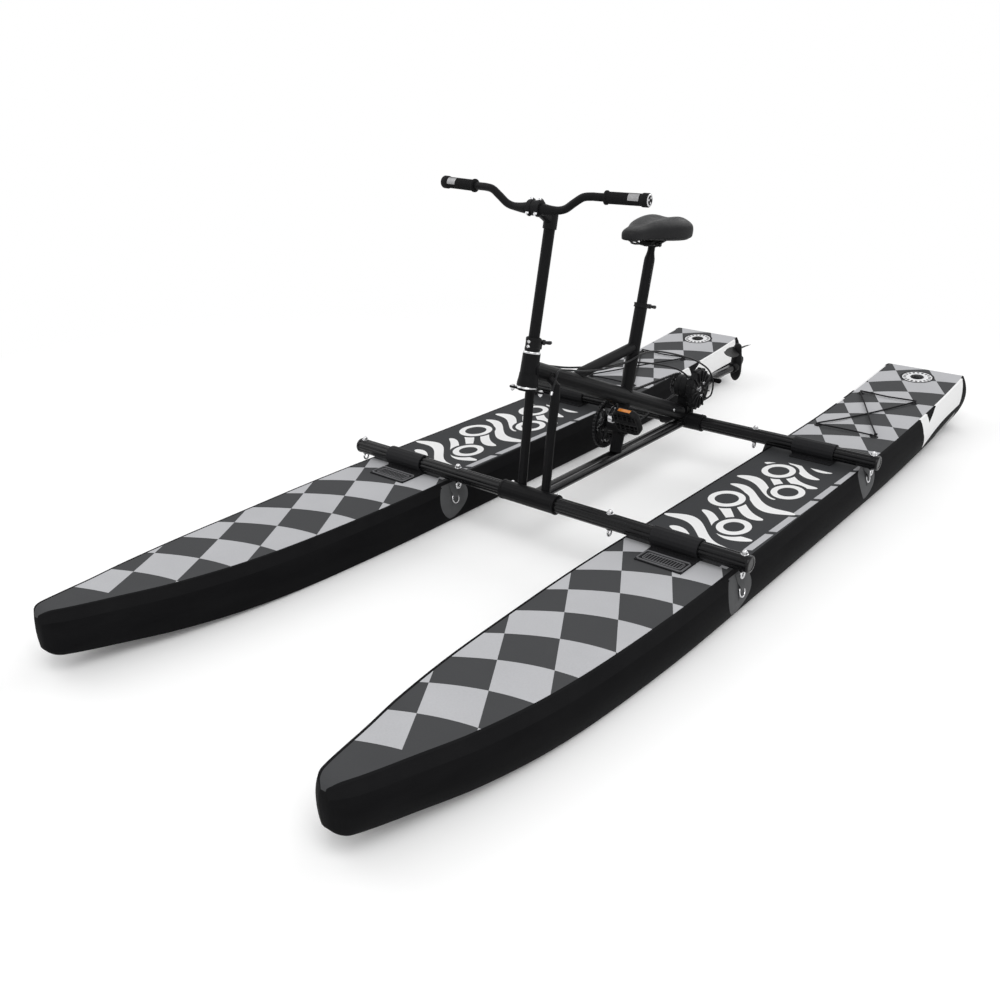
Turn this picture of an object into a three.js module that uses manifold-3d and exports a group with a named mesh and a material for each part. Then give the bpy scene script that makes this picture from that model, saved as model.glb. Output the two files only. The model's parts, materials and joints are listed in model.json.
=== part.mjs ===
import * as THREE from 'three';
import { mergeVertices, toCreasedNormals } from 'three/addons/utils/BufferGeometryUtils.js';
import Module from 'manifold-3d';

const wasm = await Module();
wasm.setup();

// Millimetres. Bow towards -Y, rider's left towards +X, +Z up, hulls resting on z = 0.

// Shared fits and fineness
const fit = 0.3;
const slip = 0.5;
const roundSides = 20;
const tubeSides = 16;
const smallSides = 8;
const weldGap = 0.001;
const over = 1;
const creaseAngle = 0.6;

// Hulls
const hullSpread = 525;
const hullBow = -1730;
const hullStern = 1765;
const deckHeight = 150;
const hullBulge = 20;
const hullEdge = 6;
const bowDeckRise = 40;
const bowKeelRise = 62;
const sternDeckRise = 48;
const sternKeelRise = 58;
const bowRockerStart = -900;
const sternRockerStart = 700;
const hullHalfWidth = 178;
const deckHalfWidths = [
  [-1730, 13], [-1719, 27], [-1692, 40], [-1630, 57], [-1545, 77], [-1410, 111], [-1200, 145],
  [-950, 165], [-620, hullHalfWidth], [-200, hullHalfWidth], [300, 176], [800, 174], [1150, 171], [1500, 169],
  [1670, 166], [1732, 160], [1756, 148], [1765, 130],
];
const endSoftness = 16;
const hullEndRings = 3;

// Cross tubes, standing on pads on the decks
const frontTubeY = -385;
const rearTubeY = 580;
const armRadius = 25;
const armInner = 15;
const armOverhang = 23;
const armOuter = hullSpread + hullHalfWidth + hullBulge + armOverhang;
const grooveDepth = 2.2;
const grooveCount = 5;
const groovePoints = 5;
const capProud = 1.5;
const capRadius = armRadius + capProud;
const capLength = 7;
const capBevel = 2;
const socketWall = 6;
const socketRadius = armRadius + socketWall;
const frontSocketHalf = 106;
const rearSocketHalf = 86;

// Hull saddles under the arms
const sleeveLength = 150;
const sleeveWall = 6;
const sleeveRadius = armRadius + sleeveWall;
const padHalfDepth = 38;
const padThick = 5;
const flapDepth = 72;
const flapThick = 4;
const footHalfDepth = 20;
const footShare = 0.72;
const footSink = 1;
const tubeHeight = deckHeight + padThick + sleeveRadius;
const footTop = tubeHeight - armRadius * footShare;

// Eye bolts
const eyeInnerClear = 30;
const eyeInner = hullSpread - hullHalfWidth - hullBulge - eyeInnerClear;
const eyeEndDistance = 16;
const eyeOuter = armOuter - eyeEndDistance;
const eyeShank = 4;
const eyeRing = 10;
const eyeWire = 3.4;
const eyeDrop = 12;
const eyeCentreHeight = tubeHeight - armRadius - eyeDrop;
const eyeNutRadius = 9;
const eyeNutHeight = 8;
const eyeStub = 5;
const eyeWireSides = 6;
const eyeSteps = 10;
const nutSides = 6;

// Steering axis
const steerTilt = THREE.MathUtils.degToRad(12.5);
const steerPoint = new THREE.Vector3(0, -395, 600);
const steerUp = new THREE.Vector3(0, Math.sin(steerTilt), Math.cos(steerTilt));
const headLow = -50;
const headHigh = 47;
const headLowRadius = 28.5;
const headHighRadius = 26.5;
const headBore = 21.2;
const cupHeight = 7;
const cupRadius = 29;
const cupTopRadius = 27;
const cupBevel = 3;
const steererRadius = 20.2;
const steererBore = 17.3;
const steererTop = 96;
const armPlateThick = 6;
const armPlateReach = 52;
const armPlateHub = 27;
const armPlateTip = 10;
const collarLow = 56;
const collarHigh = 94;
const collarRadius = 23.5;
const collarEar = 16;
const collarEarThick = 18;
const collarEarTrim = 8;
const collarEarSink = 2.6;
const leverPin = 3;
const leverPinHalf = 13;
const leverCam = 9;
const leverCamRadius = 8;
const leverHandle = 4;
const leverLength = 30;
const leverReach = 22;
const leverSteps = 8;
const stemLeverRise = 8;
const stemRadius = 16.7;
const stemLow = -28;
const stemHigh = 452;
const stemBore = 13;

// Handlebar and its clamp
const barY = -375;
const barZ = 1063;
const barRadius = 11.1;
const barCentreRadius = 15.9;
const barCentreHalf = 34;
const barSteps = 30;
const barSides = 10;
const clampRadius = 21;
const clampHalf = 22;
const clampNeckRadius = 15;
const clampCapHeight = 46;
const clampCapRadius = 20.5;
const clampCapProud = 3;
const gripStart = 226;
const gripEnd = 366;
const gripRadius = 16.2;
const gripFlange = 19;
const gripFlangeThick = 6;
const barPoints = [
  [0, 0, -2], [58, 0, -3], [98, 1, 3], [130, 2, 23], [157, 4, 39], [184, 6, 43], [212, 8, 43.3],
  [362, 20, 44.9],
];

// Frame tubes
const beamRadius = 29;
const beamStart = [0, -388, 598];
const beamEnd = [0, 536, tubeHeight + 40];
const riserRadius = 18;
const riserStart = [0, -176, 506];
const riserMid = [0, -120, 527];
const riserEnd = [0, 190, 548];
const seatFoot = [0, 106, tubeHeight + 7];
const seatTop = [0, 228, 686];
const seatRadius = 21.5;
const seatBore = 18.4;
const seatBoreDepth = 210;
const legRadius = 14.8;
const legPoints = [[14, -318, 562], [34, -314, 560], [45, -322, 536], [46, -345, 380], [46, -366, tubeHeight + 19]];
const legSteps = 9;
const legSides = 12;
const railRadius = 13.4;
const railSpread = 13.8;
const railDrop = 6.2;
const railHeight = tubeHeight - railDrop;

// Cranks, chain and pedals
const bottomY = 120;
const bottomZ = 283;
const shellRadius = 24;
const shellHalf = 35;
const shellBore = 13;
const spindleRadius = 12;
const crankLength = 170;
const crankThick = 14;
const crankHubRadius = 19;
const crankEndRadius = 14;
const crankInner = 58;
const crankArmTrim = 2;
const crankArmTaper = 1.6;
const crankRise = THREE.MathUtils.degToRad(151);
const ringX = -48;
const ringRadius = 80;
const ringThick = 3.4;
const ringBore = 12.4;
const ringWindows = 5;
const ringWindowRadius = 15;
const ringWindowPlace = 47;
const chainWidth = 8;
const chainInside = 0.6;
const chainOutside = 8.5;
const pedalTurn = THREE.MathUtils.degToRad(-62);
const pedalWidth = 94;
const pedalLength = 96;
const pedalThick = 26;
const pedalCorner = 26;
const pedalGap = 5;
const pedalBore = 7;
const pedalAxle = 6;
const pedalAxleShort = 10;
const pedalWindow = [22, 20];
const pedalWindowPlace = 24;

// Drive unit behind the frame
const gearY = 590;
const gearZ = 312;
const gearRadius = 42;
const gearInner = -34;
const gearOuter = 38;
const gearBore = 9;
const gearShaft = 8.4;
const coverRadius = 76;
const coverThick = 22;
const coverEdge = 8;
const coverSides = 30;
const sprocketRadius = 36;
const sprocketThick = 3.4;
const sprocketHub = 15;
const sprocketEnd = 6;
const tiltY = 668;
const tiltZ = 300;
const cheekRadius = 24;
const cheekInner = 23;
const cheekOuter = 34;
const tiltPin = 8;
const linkInset = 6;
const barrelClear = 4;
const bracketHalfX = 22;
const bracketHalfY = 24;
const bracketForward = 2;
const legLength = 330;
const legRaise = THREE.MathUtils.degToRad(0);
const driveTubeRadius = 15;
const driveTubeBore = 9;
const driveTubeStart = 34;
const headBarrel = 20;
const sleeveStart = 26;
const sleeveEnd = 92;
const sleeveOuter = 21.5;
const shaftBoreStart = 8;
const shaftStart = 12;

const quadrantStart = 95;
const quadrantThick = 6;
const quadrantReach = 44;
const quadrantWidth = 18;
const quadrantTip = 10;
const shaftRadius = 5;
const podRadius = 22;
const podRear = 52;
const podNeck = 44;
const podNeckThick = 5;
const podProfile = [[0, -60], [9, -56], [17, -44], [22, -20], [22, 22], [18, 52], [0, 52]];
const podSocket = 2.3;
const skegSize = [5, 44, 44];
const skegBack = 4;
const skegDrop = 16;
const propHubRadius = 18;
const propHubLength = 30;
const propHubTaper = 3;
const propNose = 12;
const propNoseRadius = 5;
const propGap = 0.3;
const propShaft = 6;
const propShaftDepth = 34;
const bladeOutline = [
  [6, -12], [40, -24], [74, -26], [92, -18], [100, 0], [94, 16], [76, 25], [42, 22], [6, 12],
];
const propBladeThick = 4;
const propPitch = THREE.MathUtils.degToRad(28);

// Saddle and seat post
const postRadius = 17.9;
const postLow = -165;
const postHigh = 191;
const seatCollarHeight = 15;
const seatCollarRadius = 25.2;
const seatEarBack = 1.2;
const saddleNoseY = 108;
const saddleRearY = 392;
const saddleStations = [
  [0.0, 11, 930, 918], [0.03, 21, 937, 912], [0.13, 34, 945, 908], [0.26, 45, 949, 905],
  [0.42, 67, 955, 900], [0.57, 86, 960, 896], [0.74, 101, 964, 893], [0.88, 104, 966, 892],
  [0.965, 91, 960, 895], [1.0, 56, 946, 907],
];
const saddleCrown = 3;
const saddleSides = 22;
const saddleRailRadius = 3.6;
const saddleRailSpread = 22;
const saddleRailDrop = 13;
const clampBlock = [56, 44, 22];
const clampBlockDrop = 5;
const clampBlockBack = 2;
const seatCollarLow = -10.5;
const seatCollarTrim = 4;
const beamSeatDepth = 310;
const saddleMiddleShare = 0.45;
const saddleDrawShare = 0.16;
const saddleRailNose = [[10, 40, 25], [14, 62, 11]];
const saddleRailFront = 44;
const saddleRailBack = 36;
const saddleRailTail = [10, 52, 16];
const noseBridge = [26, 10, 8];
const noseBridgeAt = [44, 23];
const tailBridge = [70, 10, 8];
const tailBridgeAt = [56, 15];
const saddleRailSteps = 8;

// Deck fittings
const bungeeRadius = 3;
const bungeeSpread = 108;
const bungeeShift = -20;
const bungeeFront = 925;
const bungeeRear = 1358;
const anchorRadius = 16;
const anchorHeight = 5;
const anchorBevel = 4;
const anchorSides = 10;
const bungeeSteps = 50;
const bungeeCross = 106;
const valveY = 1655;
const valveRadius = 27;
const valveDepth = 4;
const valveProud = 5;
const valveBevel = 3;
const cableRadius = 3.2;
const cableSteps = 42;

const group = new THREE.Group();
group.name = 'pontoon_water_bike';

const at = (x, y, z) => new THREE.Vector3(x, y, z);
const from = (list) => new THREE.Vector3(...list);
const mirrored = (side, list) => new THREE.Vector3(side * list[0], list[1], list[2]);
const alongSteer = (s) => steerPoint.clone().addScaledVector(steerUp, s);

// Turns any geometry into one welded closed body
function solid(geometry) {
  const bare = new THREE.BufferGeometry();
  bare.setAttribute('position', geometry.getAttribute('position').clone());
  if (geometry.index) bare.setIndex(geometry.index.clone());
  const welded = mergeVertices(bare, weldGap);
  const index = welded.index.array;
  const kept = [];
  for (let i = 0; i < index.length; i += 3) {
    const [a, b, c] = [index[i], index[i + 1], index[i + 2]];
    if (a !== b && b !== c && a !== c) kept.push(a, b, c);
  }
  return new wasm.Manifold(new wasm.Mesh({
    numProp: 3,
    vertProperties: new Float32Array(welded.getAttribute('position').array),
    triVerts: new Uint32Array(kept),
  }));
}

function joined(...bodies) {
  return bodies.reduce((whole, next) => whole.add(next));
}

function without(body, ...cutters) {
  return cutters.reduce((whole, next) => whole.subtract(next), body);
}

// Keeps the largest closed body of a cut
function largest(body) {
  const bodies = body.decompose();
  return bodies.reduce((best, next) => (next.volume() > best.volume() ? next : best));
}

function placeAlong(geometry, start, end) {
  const direction = end.clone().sub(start).normalize();
  geometry.applyQuaternion(new THREE.Quaternion().setFromUnitVectors(at(0, 1, 0), direction));
  const middle = start.clone().add(end).multiplyScalar(0.5);
  geometry.translate(middle.x, middle.y, middle.z);
  return geometry;
}

function rod(start, end, radius, endRadius = radius, sides = tubeSides) {
  const length = start.distanceTo(end);
  return solid(placeAlong(new THREE.CylinderGeometry(endRadius, radius, length, sides), start, end));
}

function pipe(start, end, radius, bore, endRadius = radius, sides = tubeSides) {
  const reach = end.clone().sub(start).normalize().multiplyScalar(over);
  const inner = rod(start.clone().sub(reach), end.clone().add(reach), bore, bore, sides);
  return rod(start, end, radius, endRadius, sides).subtract(inner);
}

function block(centre, size, turnX = 0) {
  const geometry = new THREE.BoxGeometry(...size);
  geometry.rotateX(turnX);
  geometry.translate(centre.x, centre.y, centre.z);
  return solid(geometry);
}

function ringAround(centre, axis, radius, wire, sides = smallSides, steps = roundSides) {
  const geometry = new THREE.TorusGeometry(radius, wire, sides, steps);
  geometry.applyQuaternion(new THREE.Quaternion().setFromUnitVectors(at(0, 0, 1), axis));
  geometry.translate(centre.x, centre.y, centre.z);
  return solid(geometry);
}

function circleShape(radius, sides) {
  const points = [];
  for (let i = 0; i < sides; i += 1) {
    const angle = (i / sides) * Math.PI * 2;
    points.push(new THREE.Vector2(Math.cos(angle) * radius, Math.sin(angle) * radius));
  }
  return new THREE.Shape(points);
}

function sweep(points, radius, steps, sides = smallSides) {
  const path = new THREE.CatmullRomCurve3(points, false, 'centripetal');
  const options = { steps, bevelEnabled: false, extrudePath: path };
  return solid(new THREE.ExtrudeGeometry(circleShape(radius, sides), options));
}

// A flat outline in (y, z) given a thickness along x
function plate(shape, x, thickness) {
  const geometry = new THREE.ExtrudeGeometry(shape, { depth: thickness, bevelEnabled: false, steps: 1 });
  geometry.applyMatrix4(new THREE.Matrix4().makeBasis(at(0, 1, 0), at(0, 0, 1), at(1, 0, 0)));
  geometry.translate(x, 0, 0);
  return solid(geometry);
}

// Skins a row of equal rings and closes both ends
function skin(rings) {
  const count = rings[0].length;
  const positions = rings.flat().flatMap((p) => [p.x, p.y, p.z]);
  const index = [];
  for (let r = 0; r + 1 < rings.length; r += 1) {
    for (let i = 0; i < count; i += 1) {
      const a = r * count + i;
      const b = r * count + ((i + 1) % count);
      index.push(a, b, b + count, a, b + count, a + count);
    }
  }
  for (const [ring, first] of [[0, true], [rings.length - 1, false]]) {
    const centre = rings[ring].reduce((sum, p) => sum.add(p), at(0, 0, 0)).multiplyScalar(1 / count);
    const hub = positions.length / 3;
    positions.push(centre.x, centre.y, centre.z);
    for (let i = 0; i < count; i += 1) {
      const a = ring * count + i;
      const b = ring * count + ((i + 1) % count);
      index.push(...(first ? [hub, b, a] : [hub, a, b]));
    }
  }
  const geometry = new THREE.BufferGeometry();
  geometry.setAttribute('position', new THREE.Float32BufferAttribute(positions, 3));
  geometry.setIndex(index);
  return solid(geometry);
}

function piece(name, body, finish) {
  const data = body.translate([0, -(hullBow + hullStern) / 2, 0]).getMesh();
  const geometry = new THREE.BufferGeometry();
  geometry.setAttribute('position', new THREE.BufferAttribute(new Float32Array(data.vertProperties), 3));
  geometry.setIndex(new THREE.BufferAttribute(new Uint32Array(data.triVerts), 1));
  const [color, roughness, metalness] = finish;
  const mesh = new THREE.Mesh(
    toCreasedNormals(geometry, creaseAngle),
    new THREE.MeshStandardMaterial({ color, roughness, metalness }),
  );
  mesh.name = name;
  group.add(mesh);
}

// Finishes
const hullCloth = [0x4a4b4f, 0.62, 0];
const frameBlack = [0x17181a, 0.42, 0.3];
const anodised = [0x1e1f21, 0.35, 0.7];
const steel = [0xb9bbbd, 0.28, 1];
const blackPlastic = [0x151516, 0.55, 0];
const blackRubber = [0x111112, 0.85, 0];
const saddleSkin = [0x141415, 0.6, 0];
const chainSteel = [0x4c4d4f, 0.4, 0.9];

// Hulls
function rise(y, bowRise, sternRise) {
  if (y < bowRockerStart) return bowRise * ((y - bowRockerStart) / (hullBow - bowRockerStart)) ** 2;
  if (y > sternRockerStart) return sternRise * ((y - sternRockerStart) / (hullStern - sternRockerStart)) ** 2;
  return 0;
}
const deckAt = (y) => deckHeight + rise(y, bowDeckRise, sternDeckRise);
const keelAt = (y) => rise(y, bowKeelRise, sternKeelRise);

// Height of the faceted deck between two stations
function deckTop(y) {
  const next = deckHalfWidths.findIndex(([station]) => station >= y);
  const [low, high] = [deckHalfWidths[next - 1][0], deckHalfWidths[next][0]];
  return deckAt(low) + ((deckAt(high) - deckAt(low)) * (y - low)) / (high - low);
}

function hullRing(y, half, soft, inset = 0) {
  const top = deckAt(y) - inset;
  const low = keelAt(y) + inset;
  const middle = (top + low) / 2;
  const tall = (top - low) / 2;
  const bulge = hullBulge * soft;
  const corner = Math.min(hullEdge, half / 3);
  const right = [
    [0, top], [half * 0.62, top], [half - corner, top], [half, top - corner * 0.7],
    [half + bulge * 0.62, middle + tall * 0.62], [half + bulge, middle + tall * 0.18],
    [half + bulge, middle - tall * 0.18], [half + bulge * 0.62, middle - tall * 0.62],
    [half, low + corner * 0.7], [half - corner, low], [half * 0.62, low], [0, low],
  ];
  const left = right.slice(1, -1).reverse().map(([x, z]) => [-x, z]);
  return [...right, ...left].map(([x, z]) => at(x, y, z));
}

function hull(centreX) {
  const rings = deckHalfWidths.map(([y, half], i) => {
    const last = deckHalfWidths.length - 1;
    const nearEnd = Math.min(i, last - i);
    const soft = Math.min(1, 0.35 + nearEnd / hullEndRings);
    const inset = nearEnd === 0 ? endSoftness : nearEnd === 1 ? endSoftness * 0.35 : 0;
    return hullRing(y, half, soft, inset).map((p) => p.add(at(centreX, 0, 0)));
  });
  return skin(rings);
}

const bungeeCorners = [
  [1, bungeeFront], [-1, bungeeFront], [1, bungeeRear], [-1, bungeeRear],
];

function valveBody(centreX) {
  const z = deckTop(valveY);
  return rod(at(centreX, valveY, z - valveDepth), at(centreX, valveY, z + valveProud),
    valveRadius, valveRadius - valveBevel);
}

for (const [side, name] of [[1, 'left'], [-1, 'right']]) {
  const centreX = side * hullSpread;
  const anchors = bungeeCorners.map(([dx, y]) => rod(
    at(centreX + bungeeShift + dx * bungeeSpread, y, deckTop(y) - anchorHeight),
    at(centreX + bungeeShift + dx * bungeeSpread, y, deckTop(y) + anchorHeight), anchorRadius,
    anchorRadius - anchorBevel, anchorSides,
  ));
  piece(`pontoon_${name}`, joined(hull(centreX), ...anchors, valveBody(centreX)), hullCloth);
}

// Cross arms
function armShape(radius) {
  const points = [];
  const count = grooveCount * groovePoints;
  for (let i = 0; i < count; i += 1) {
    const angle = (i / count) * Math.PI * 2;
    const reach = i % groovePoints === 0 ? radius - grooveDepth : radius;
    points.push(new THREE.Vector2(Math.cos(angle) * reach, Math.sin(angle) * reach));
  }
  return new THREE.Shape(points);
}

const tubes = [
  ['front', frontTubeY, frontSocketHalf, flapDepth],
  ['rear', rearTubeY, rearSocketHalf, 0],
];
const sides = [['left', 1], ['right', -1]];

function boltHole(x, y, radius) {
  return rod(at(x, y, tubeHeight - socketRadius * 2), at(x, y, tubeHeight + socketRadius * 2), radius, radius,
    smallSides);
}

for (const [end, y, socketHalf, flap] of tubes) {
  for (const [name, side] of sides) {
    const geometry = plate(armShape(armRadius), Math.min(side * armInner, side * armOuter), armOuter - armInner);
    const tube = geometry.translate([0, y, tubeHeight]);
    const cap = rod(at(side * (armOuter - over), y, tubeHeight), at(side * (armOuter + capLength), y, tubeHeight),
      capRadius, capRadius - capBevel);
    const holes = [eyeInner, eyeOuter].map((x) => boltHole(side * x, y, eyeShank + fit));
    piece(`cross_arm_${end}_${name}`, without(joined(tube, cap), ...holes), anodised);

    const inner = side * (hullSpread - sleeveLength / 2);
    const outer = side * (hullSpread + sleeveLength / 2);
    const sleeve = rod(at(inner, y, tubeHeight), at(outer, y, tubeHeight), sleeveRadius);
    const bore = rod(at(inner - side * over, y, tubeHeight), at(outer + side * over, y, tubeHeight),
      armRadius + slip);
    const padZ = deckHeight + fit + padThick / 2;
    const pad = block(at(side * hullSpread, y, padZ), [sleeveLength, padHalfDepth * 2, padThick]);
    const footLow = deckHeight + fit + footSink;
    const foot = block(at(side * hullSpread, y, (footLow + footTop) / 2),
      [sleeveLength, footHalfDepth * 2, footTop - footLow]);
    const parts = [pad, foot];
    if (flap) {
      const flapY = y - padHalfDepth - flap / 2 + over;
      parts.push(block(at(side * hullSpread, flapY, deckHeight + fit + flapThick / 2),
        [sleeveLength, flap, flapThick]));
    }
    piece(`hull_saddle_${end}_${name}`, without(joined(sleeve, ...parts), bore), blackPlastic);

    for (const [place, x] of [['inner', eyeInner], ['outer', eyeOuter]]) {
      const nutLow = tubeHeight + armRadius + fit;
      const nut = rod(at(side * x, y, nutLow), at(side * x, y, nutLow + eyeNutHeight),
        eyeNutRadius, eyeNutRadius, nutSides);
      const shank = rod(at(side * x, y, eyeCentreHeight + eyeRing - over),
        at(side * x, y, nutLow + eyeNutHeight + eyeStub), eyeShank, eyeShank, smallSides);
      const eye = ringAround(at(side * x, y, eyeCentreHeight), at(1, 0, 0), eyeRing, eyeWire, eyeWireSides,
        eyeSteps);
      piece(`eye_bolt_${end}_${name}_${place}`, joined(nut, shank, eye), steel);
    }
  }
}

// Frame tubes, coped on each other with a small weld gap
const beamBody = (spare) => rod(from(beamStart), from(beamEnd), beamRadius + spare, beamRadius + spare, roundSides);
const headBody = (spare) => rod(alongSteer(headLow), alongSteer(headHigh), headLowRadius + spare,
  headHighRadius + spare, roundSides);
const headHole = rod(alongSteer(headLow - over), alongSteer(headHigh + over), headBore, headBore, roundSides);
const socketBody = (y, half, spare) => rod(at(-half, y, tubeHeight), at(half, y, tubeHeight),
  socketRadius + spare, socketRadius + spare, roundSides);
const socketHole = (y, half) => rod(at(-half - over, y, tubeHeight), at(half + over, y, tubeHeight),
  armRadius + slip, armRadius + slip, tubeSides);
const shellBody = (spare) => rod(at(-shellHalf, bottomY, bottomZ), at(shellHalf, bottomY, bottomZ),
  shellRadius + spare, shellRadius + spare, roundSides);
const shellHole = rod(at(-shellHalf - over, bottomY, bottomZ), at(shellHalf + over, bottomY, bottomZ), shellBore);
const seatDirection = from(seatTop).sub(from(seatFoot)).normalize();
const alongSeat = (s) => from(seatTop).addScaledVector(seatDirection, s);
const seatBody = (start, end, spare) => rod(start, end, seatRadius + spare, seatRadius + spare);
const gearSolid = (spare) => rod(at(gearInner - spare, gearY, gearZ), at(gearOuter + spare, gearY, gearZ),
  gearRadius + spare, gearRadius + spare, roundSides);

piece('main_beam', largest(without(joined(beamBody(0), headBody(0)), headHole,
  socketBody(rearTubeY, rearSocketHalf, fit), gearSolid(fit))), frameBlack);
const riserBody = (spare) => joined(
  rod(from(riserMid), from(riserEnd), riserRadius + spare),
  rod(from(riserStart), from(riserMid), riserRadius + spare),
  solid(new THREE.SphereGeometry(riserRadius + spare, tubeSides, tubeSides / 2).translate(...riserMid)),
);
const seatBoreBody = rod(alongSeat(-seatBoreDepth), alongSeat(over), seatBore);
const beamSeatStart = alongSeat(-beamSeatDepth);
piece('seat_tube', largest(without(joined(seatBody(beamSeatStart, from(seatTop), 0), riserBody(0)),
  beamBody(fit), seatBoreBody)), frameBlack);

const rails = (side, spare) => rod(at(side * railSpread, frontTubeY, railHeight),
  at(side * railSpread, rearTubeY, railHeight), railRadius + spare);
for (const [name, side] of sides) {
  piece(`lower_rail_${name}`, largest(without(rails(side, 0), socketBody(frontTubeY, frontSocketHalf, fit),
    socketBody(rearTubeY, rearSocketHalf, fit))), anodised);
}
piece('lower_post', largest(without(
  joined(seatBody(from(seatFoot), beamSeatStart, 0), shellBody(0)),
  shellHole, beamBody(fit), rails(1, fit), rails(-1, fit),
)), frameBlack);
for (const [name, side] of sides) {
  const leg = sweep(legPoints.map((p) => mirrored(side, p)), legRadius, legSteps, legSides);
  piece(`front_leg_${name}`, largest(without(leg, beamBody(fit), headBody(fit),
    socketBody(frontTubeY, frontSocketHalf, fit))), frameBlack);
}
for (const [end, y, half] of tubes) {
  piece(`${end}_socket`, without(socketBody(y, half, 0), socketHole(y, half)), frameBlack);
}

// Headset, steering arm and telescopic stem
piece('headset_lower', pipe(alongSteer(headLow - fit - cupHeight), alongSteer(headLow - fit), cupRadius, headBore,
  headLowRadius + over, roundSides), steel);
piece('headset_upper', pipe(alongSteer(headHigh + fit), alongSteer(headHigh + fit + cupHeight), cupTopRadius,
  headBore, cupTopRadius - cupBevel, roundSides), steel);

const plateTop = headLow - fit * 2 - cupHeight;
const plateLow = plateTop - armPlateThick;
const steererTube = pipe(alongSteer(plateLow), alongSteer(steererTop), steererRadius, steererBore, steererRadius,
  roundSides);
const plateTips = [1, -1].map((side) => {
  const tip = (s) => alongSteer(s).add(at(side * armPlateReach, 0, 0));
  return rod(tip(plateLow), tip(plateTop), armPlateTip);
});
const plateMiddle = alongSteer((plateLow + plateTop) / 2);
const plateBar = block(plateMiddle, [armPlateReach * 2, armPlateTip * 2, armPlateThick], -steerTilt);
const plateHub = rod(alongSteer(plateLow), alongSteer(plateTop), armPlateHub, armPlateHub, roundSides);
const plateHole = rod(alongSteer(plateLow - over), alongSteer(plateTop + over), steererRadius - over,
  steererRadius - over, roundSides);
piece('steerer', joined(steererTube, without(joined(plateHub, plateBar, ...plateTips), plateHole)), frameBlack);

const collarTube = pipe(alongSteer(collarLow), alongSteer(collarHigh), collarRadius, steererRadius + fit,
  collarRadius, roundSides);
const collarMiddle = alongSteer((collarLow + collarHigh) / 2);
const earY = collarRadius + collarEar / 2 - collarEarSink;
const leverPivotY = collarRadius + collarEar / 2 + over;
const earLength = collarHigh - collarLow - collarEarTrim;
const earBlock = block(at(0, earY, 0), [collarEarThick, collarEar, earLength]);
const turned = (body, middle, tilt) => body.rotate([-THREE.MathUtils.radToDeg(tilt), 0, 0])
  .translate([middle.x, middle.y, middle.z]);
const pinBody = (half, radius, z) => rod(at(-half, leverPivotY, z), at(half, leverPivotY, z), radius, radius,
  smallSides);
piece('stem_collar', without(joined(collarTube, turned(earBlock, collarMiddle, steerTilt)),
  turned(pinBody(collarEarThick, leverPin + fit, stemLeverRise), collarMiddle, steerTilt)), blackPlastic);

// Clamping lever on its screw, lying rearwards beside its collar
function lever(z) {
  const camStart = collarEarThick / 2 + fit;
  const cam = rod(at(camStart, leverPivotY, z), at(camStart + leverCam, leverPivotY, z), leverCamRadius);
  const pin = pinBody(leverPinHalf, leverPin, z);
  const handle = sweep([
    at(camStart + leverCam / 2, leverPivotY, z), at(leverReach, leverPivotY + leverLength * 0.3, z),
    at(leverReach, leverPivotY + leverLength * 0.7, z), at(leverReach, leverPivotY + leverLength, z),
  ], leverHandle, leverSteps);
  return joined(cam, pin, handle);
}
piece('stem_lever', turned(lever(stemLeverRise), collarMiddle, steerTilt), steel);

const stemPost = without(
  rod(alongSteer(stemLow), alongSteer(stemHigh), stemRadius, stemRadius, roundSides),
  rod(alongSteer(stemLow - over), alongSteer(stemHigh - clampCapHeight), stemBore, stemBore, roundSides),
);
const barCentre = at(0, barY, barZ);
const clampBore = rod(at(-clampHalf - over, barY, barZ), at(clampHalf + over, barY, barZ),
  barCentreRadius + fit);
const clampCollar = rod(alongSteer(stemHigh - clampCapHeight), alongSteer(stemHigh), clampCapRadius, clampCapRadius,
  roundSides);
const clampHub = rod(at(-clampHalf, barY, barZ), at(clampHalf, barY, barZ), clampRadius);
const clampNeck = rod(alongSteer(stemHigh - clampCapHeight / 2), barCentre, clampNeckRadius);
const stemSleeve = rod(alongSteer(stemHigh - clampCapHeight - over), alongSteer(stemHigh + fit), stemRadius + fit,
  stemRadius + fit, roundSides);
piece('stem_post', stemPost, frameBlack);
piece('bar_clamp', without(joined(clampCollar.translate([0, 0, clampCapProud]), clampHub, clampNeck), clampBore,
  stemSleeve), blackPlastic);

const barLine = [...barPoints].reverse().map(([x, y, z]) => at(-x, barY + y, barZ + z))
  .concat(barPoints.slice(1).map(([x, y, z]) => at(x, barY + y, barZ + z)));
const barTube = sweep(barLine, barRadius, barSteps, barSides);
const barMiddle = rod(at(-barCentreHalf, barY, barZ), at(barCentreHalf, barY, barZ), barCentreRadius);
piece('handlebar', joined(barTube, barMiddle), frameBlack);

// Grips lie along the straight ends of the bar
const gripInnerPoint = barPoints[barPoints.length - 2];
const gripOuterPoint = barPoints[barPoints.length - 1];
for (const [name, side] of sides) {
  const inner = at(side * gripInnerPoint[0], barY + gripInnerPoint[1], barZ + gripInnerPoint[2]);
  const outer = at(side * gripOuterPoint[0], barY + gripOuterPoint[1], barZ + gripOuterPoint[2]);
  const direction = outer.clone().sub(inner).normalize();
  const length = outer.distanceTo(inner);
  const start = inner.clone().addScaledVector(direction, gripStart - gripInnerPoint[0]);
  const end = inner.clone().addScaledVector(direction, length + gripEnd - gripOuterPoint[0]);
  const flangeEnd = start.clone().addScaledVector(direction, gripFlangeThick);
  const body = joined(rod(start, end, gripRadius), rod(start, flangeEnd, gripFlange));
  const barSpare = rod(start.clone().addScaledVector(direction, -over), end.clone().addScaledVector(direction, over),
    barRadius + slip);
  piece(`grip_${name}`, largest(without(body, barSpare)), blackRubber);
}

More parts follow.
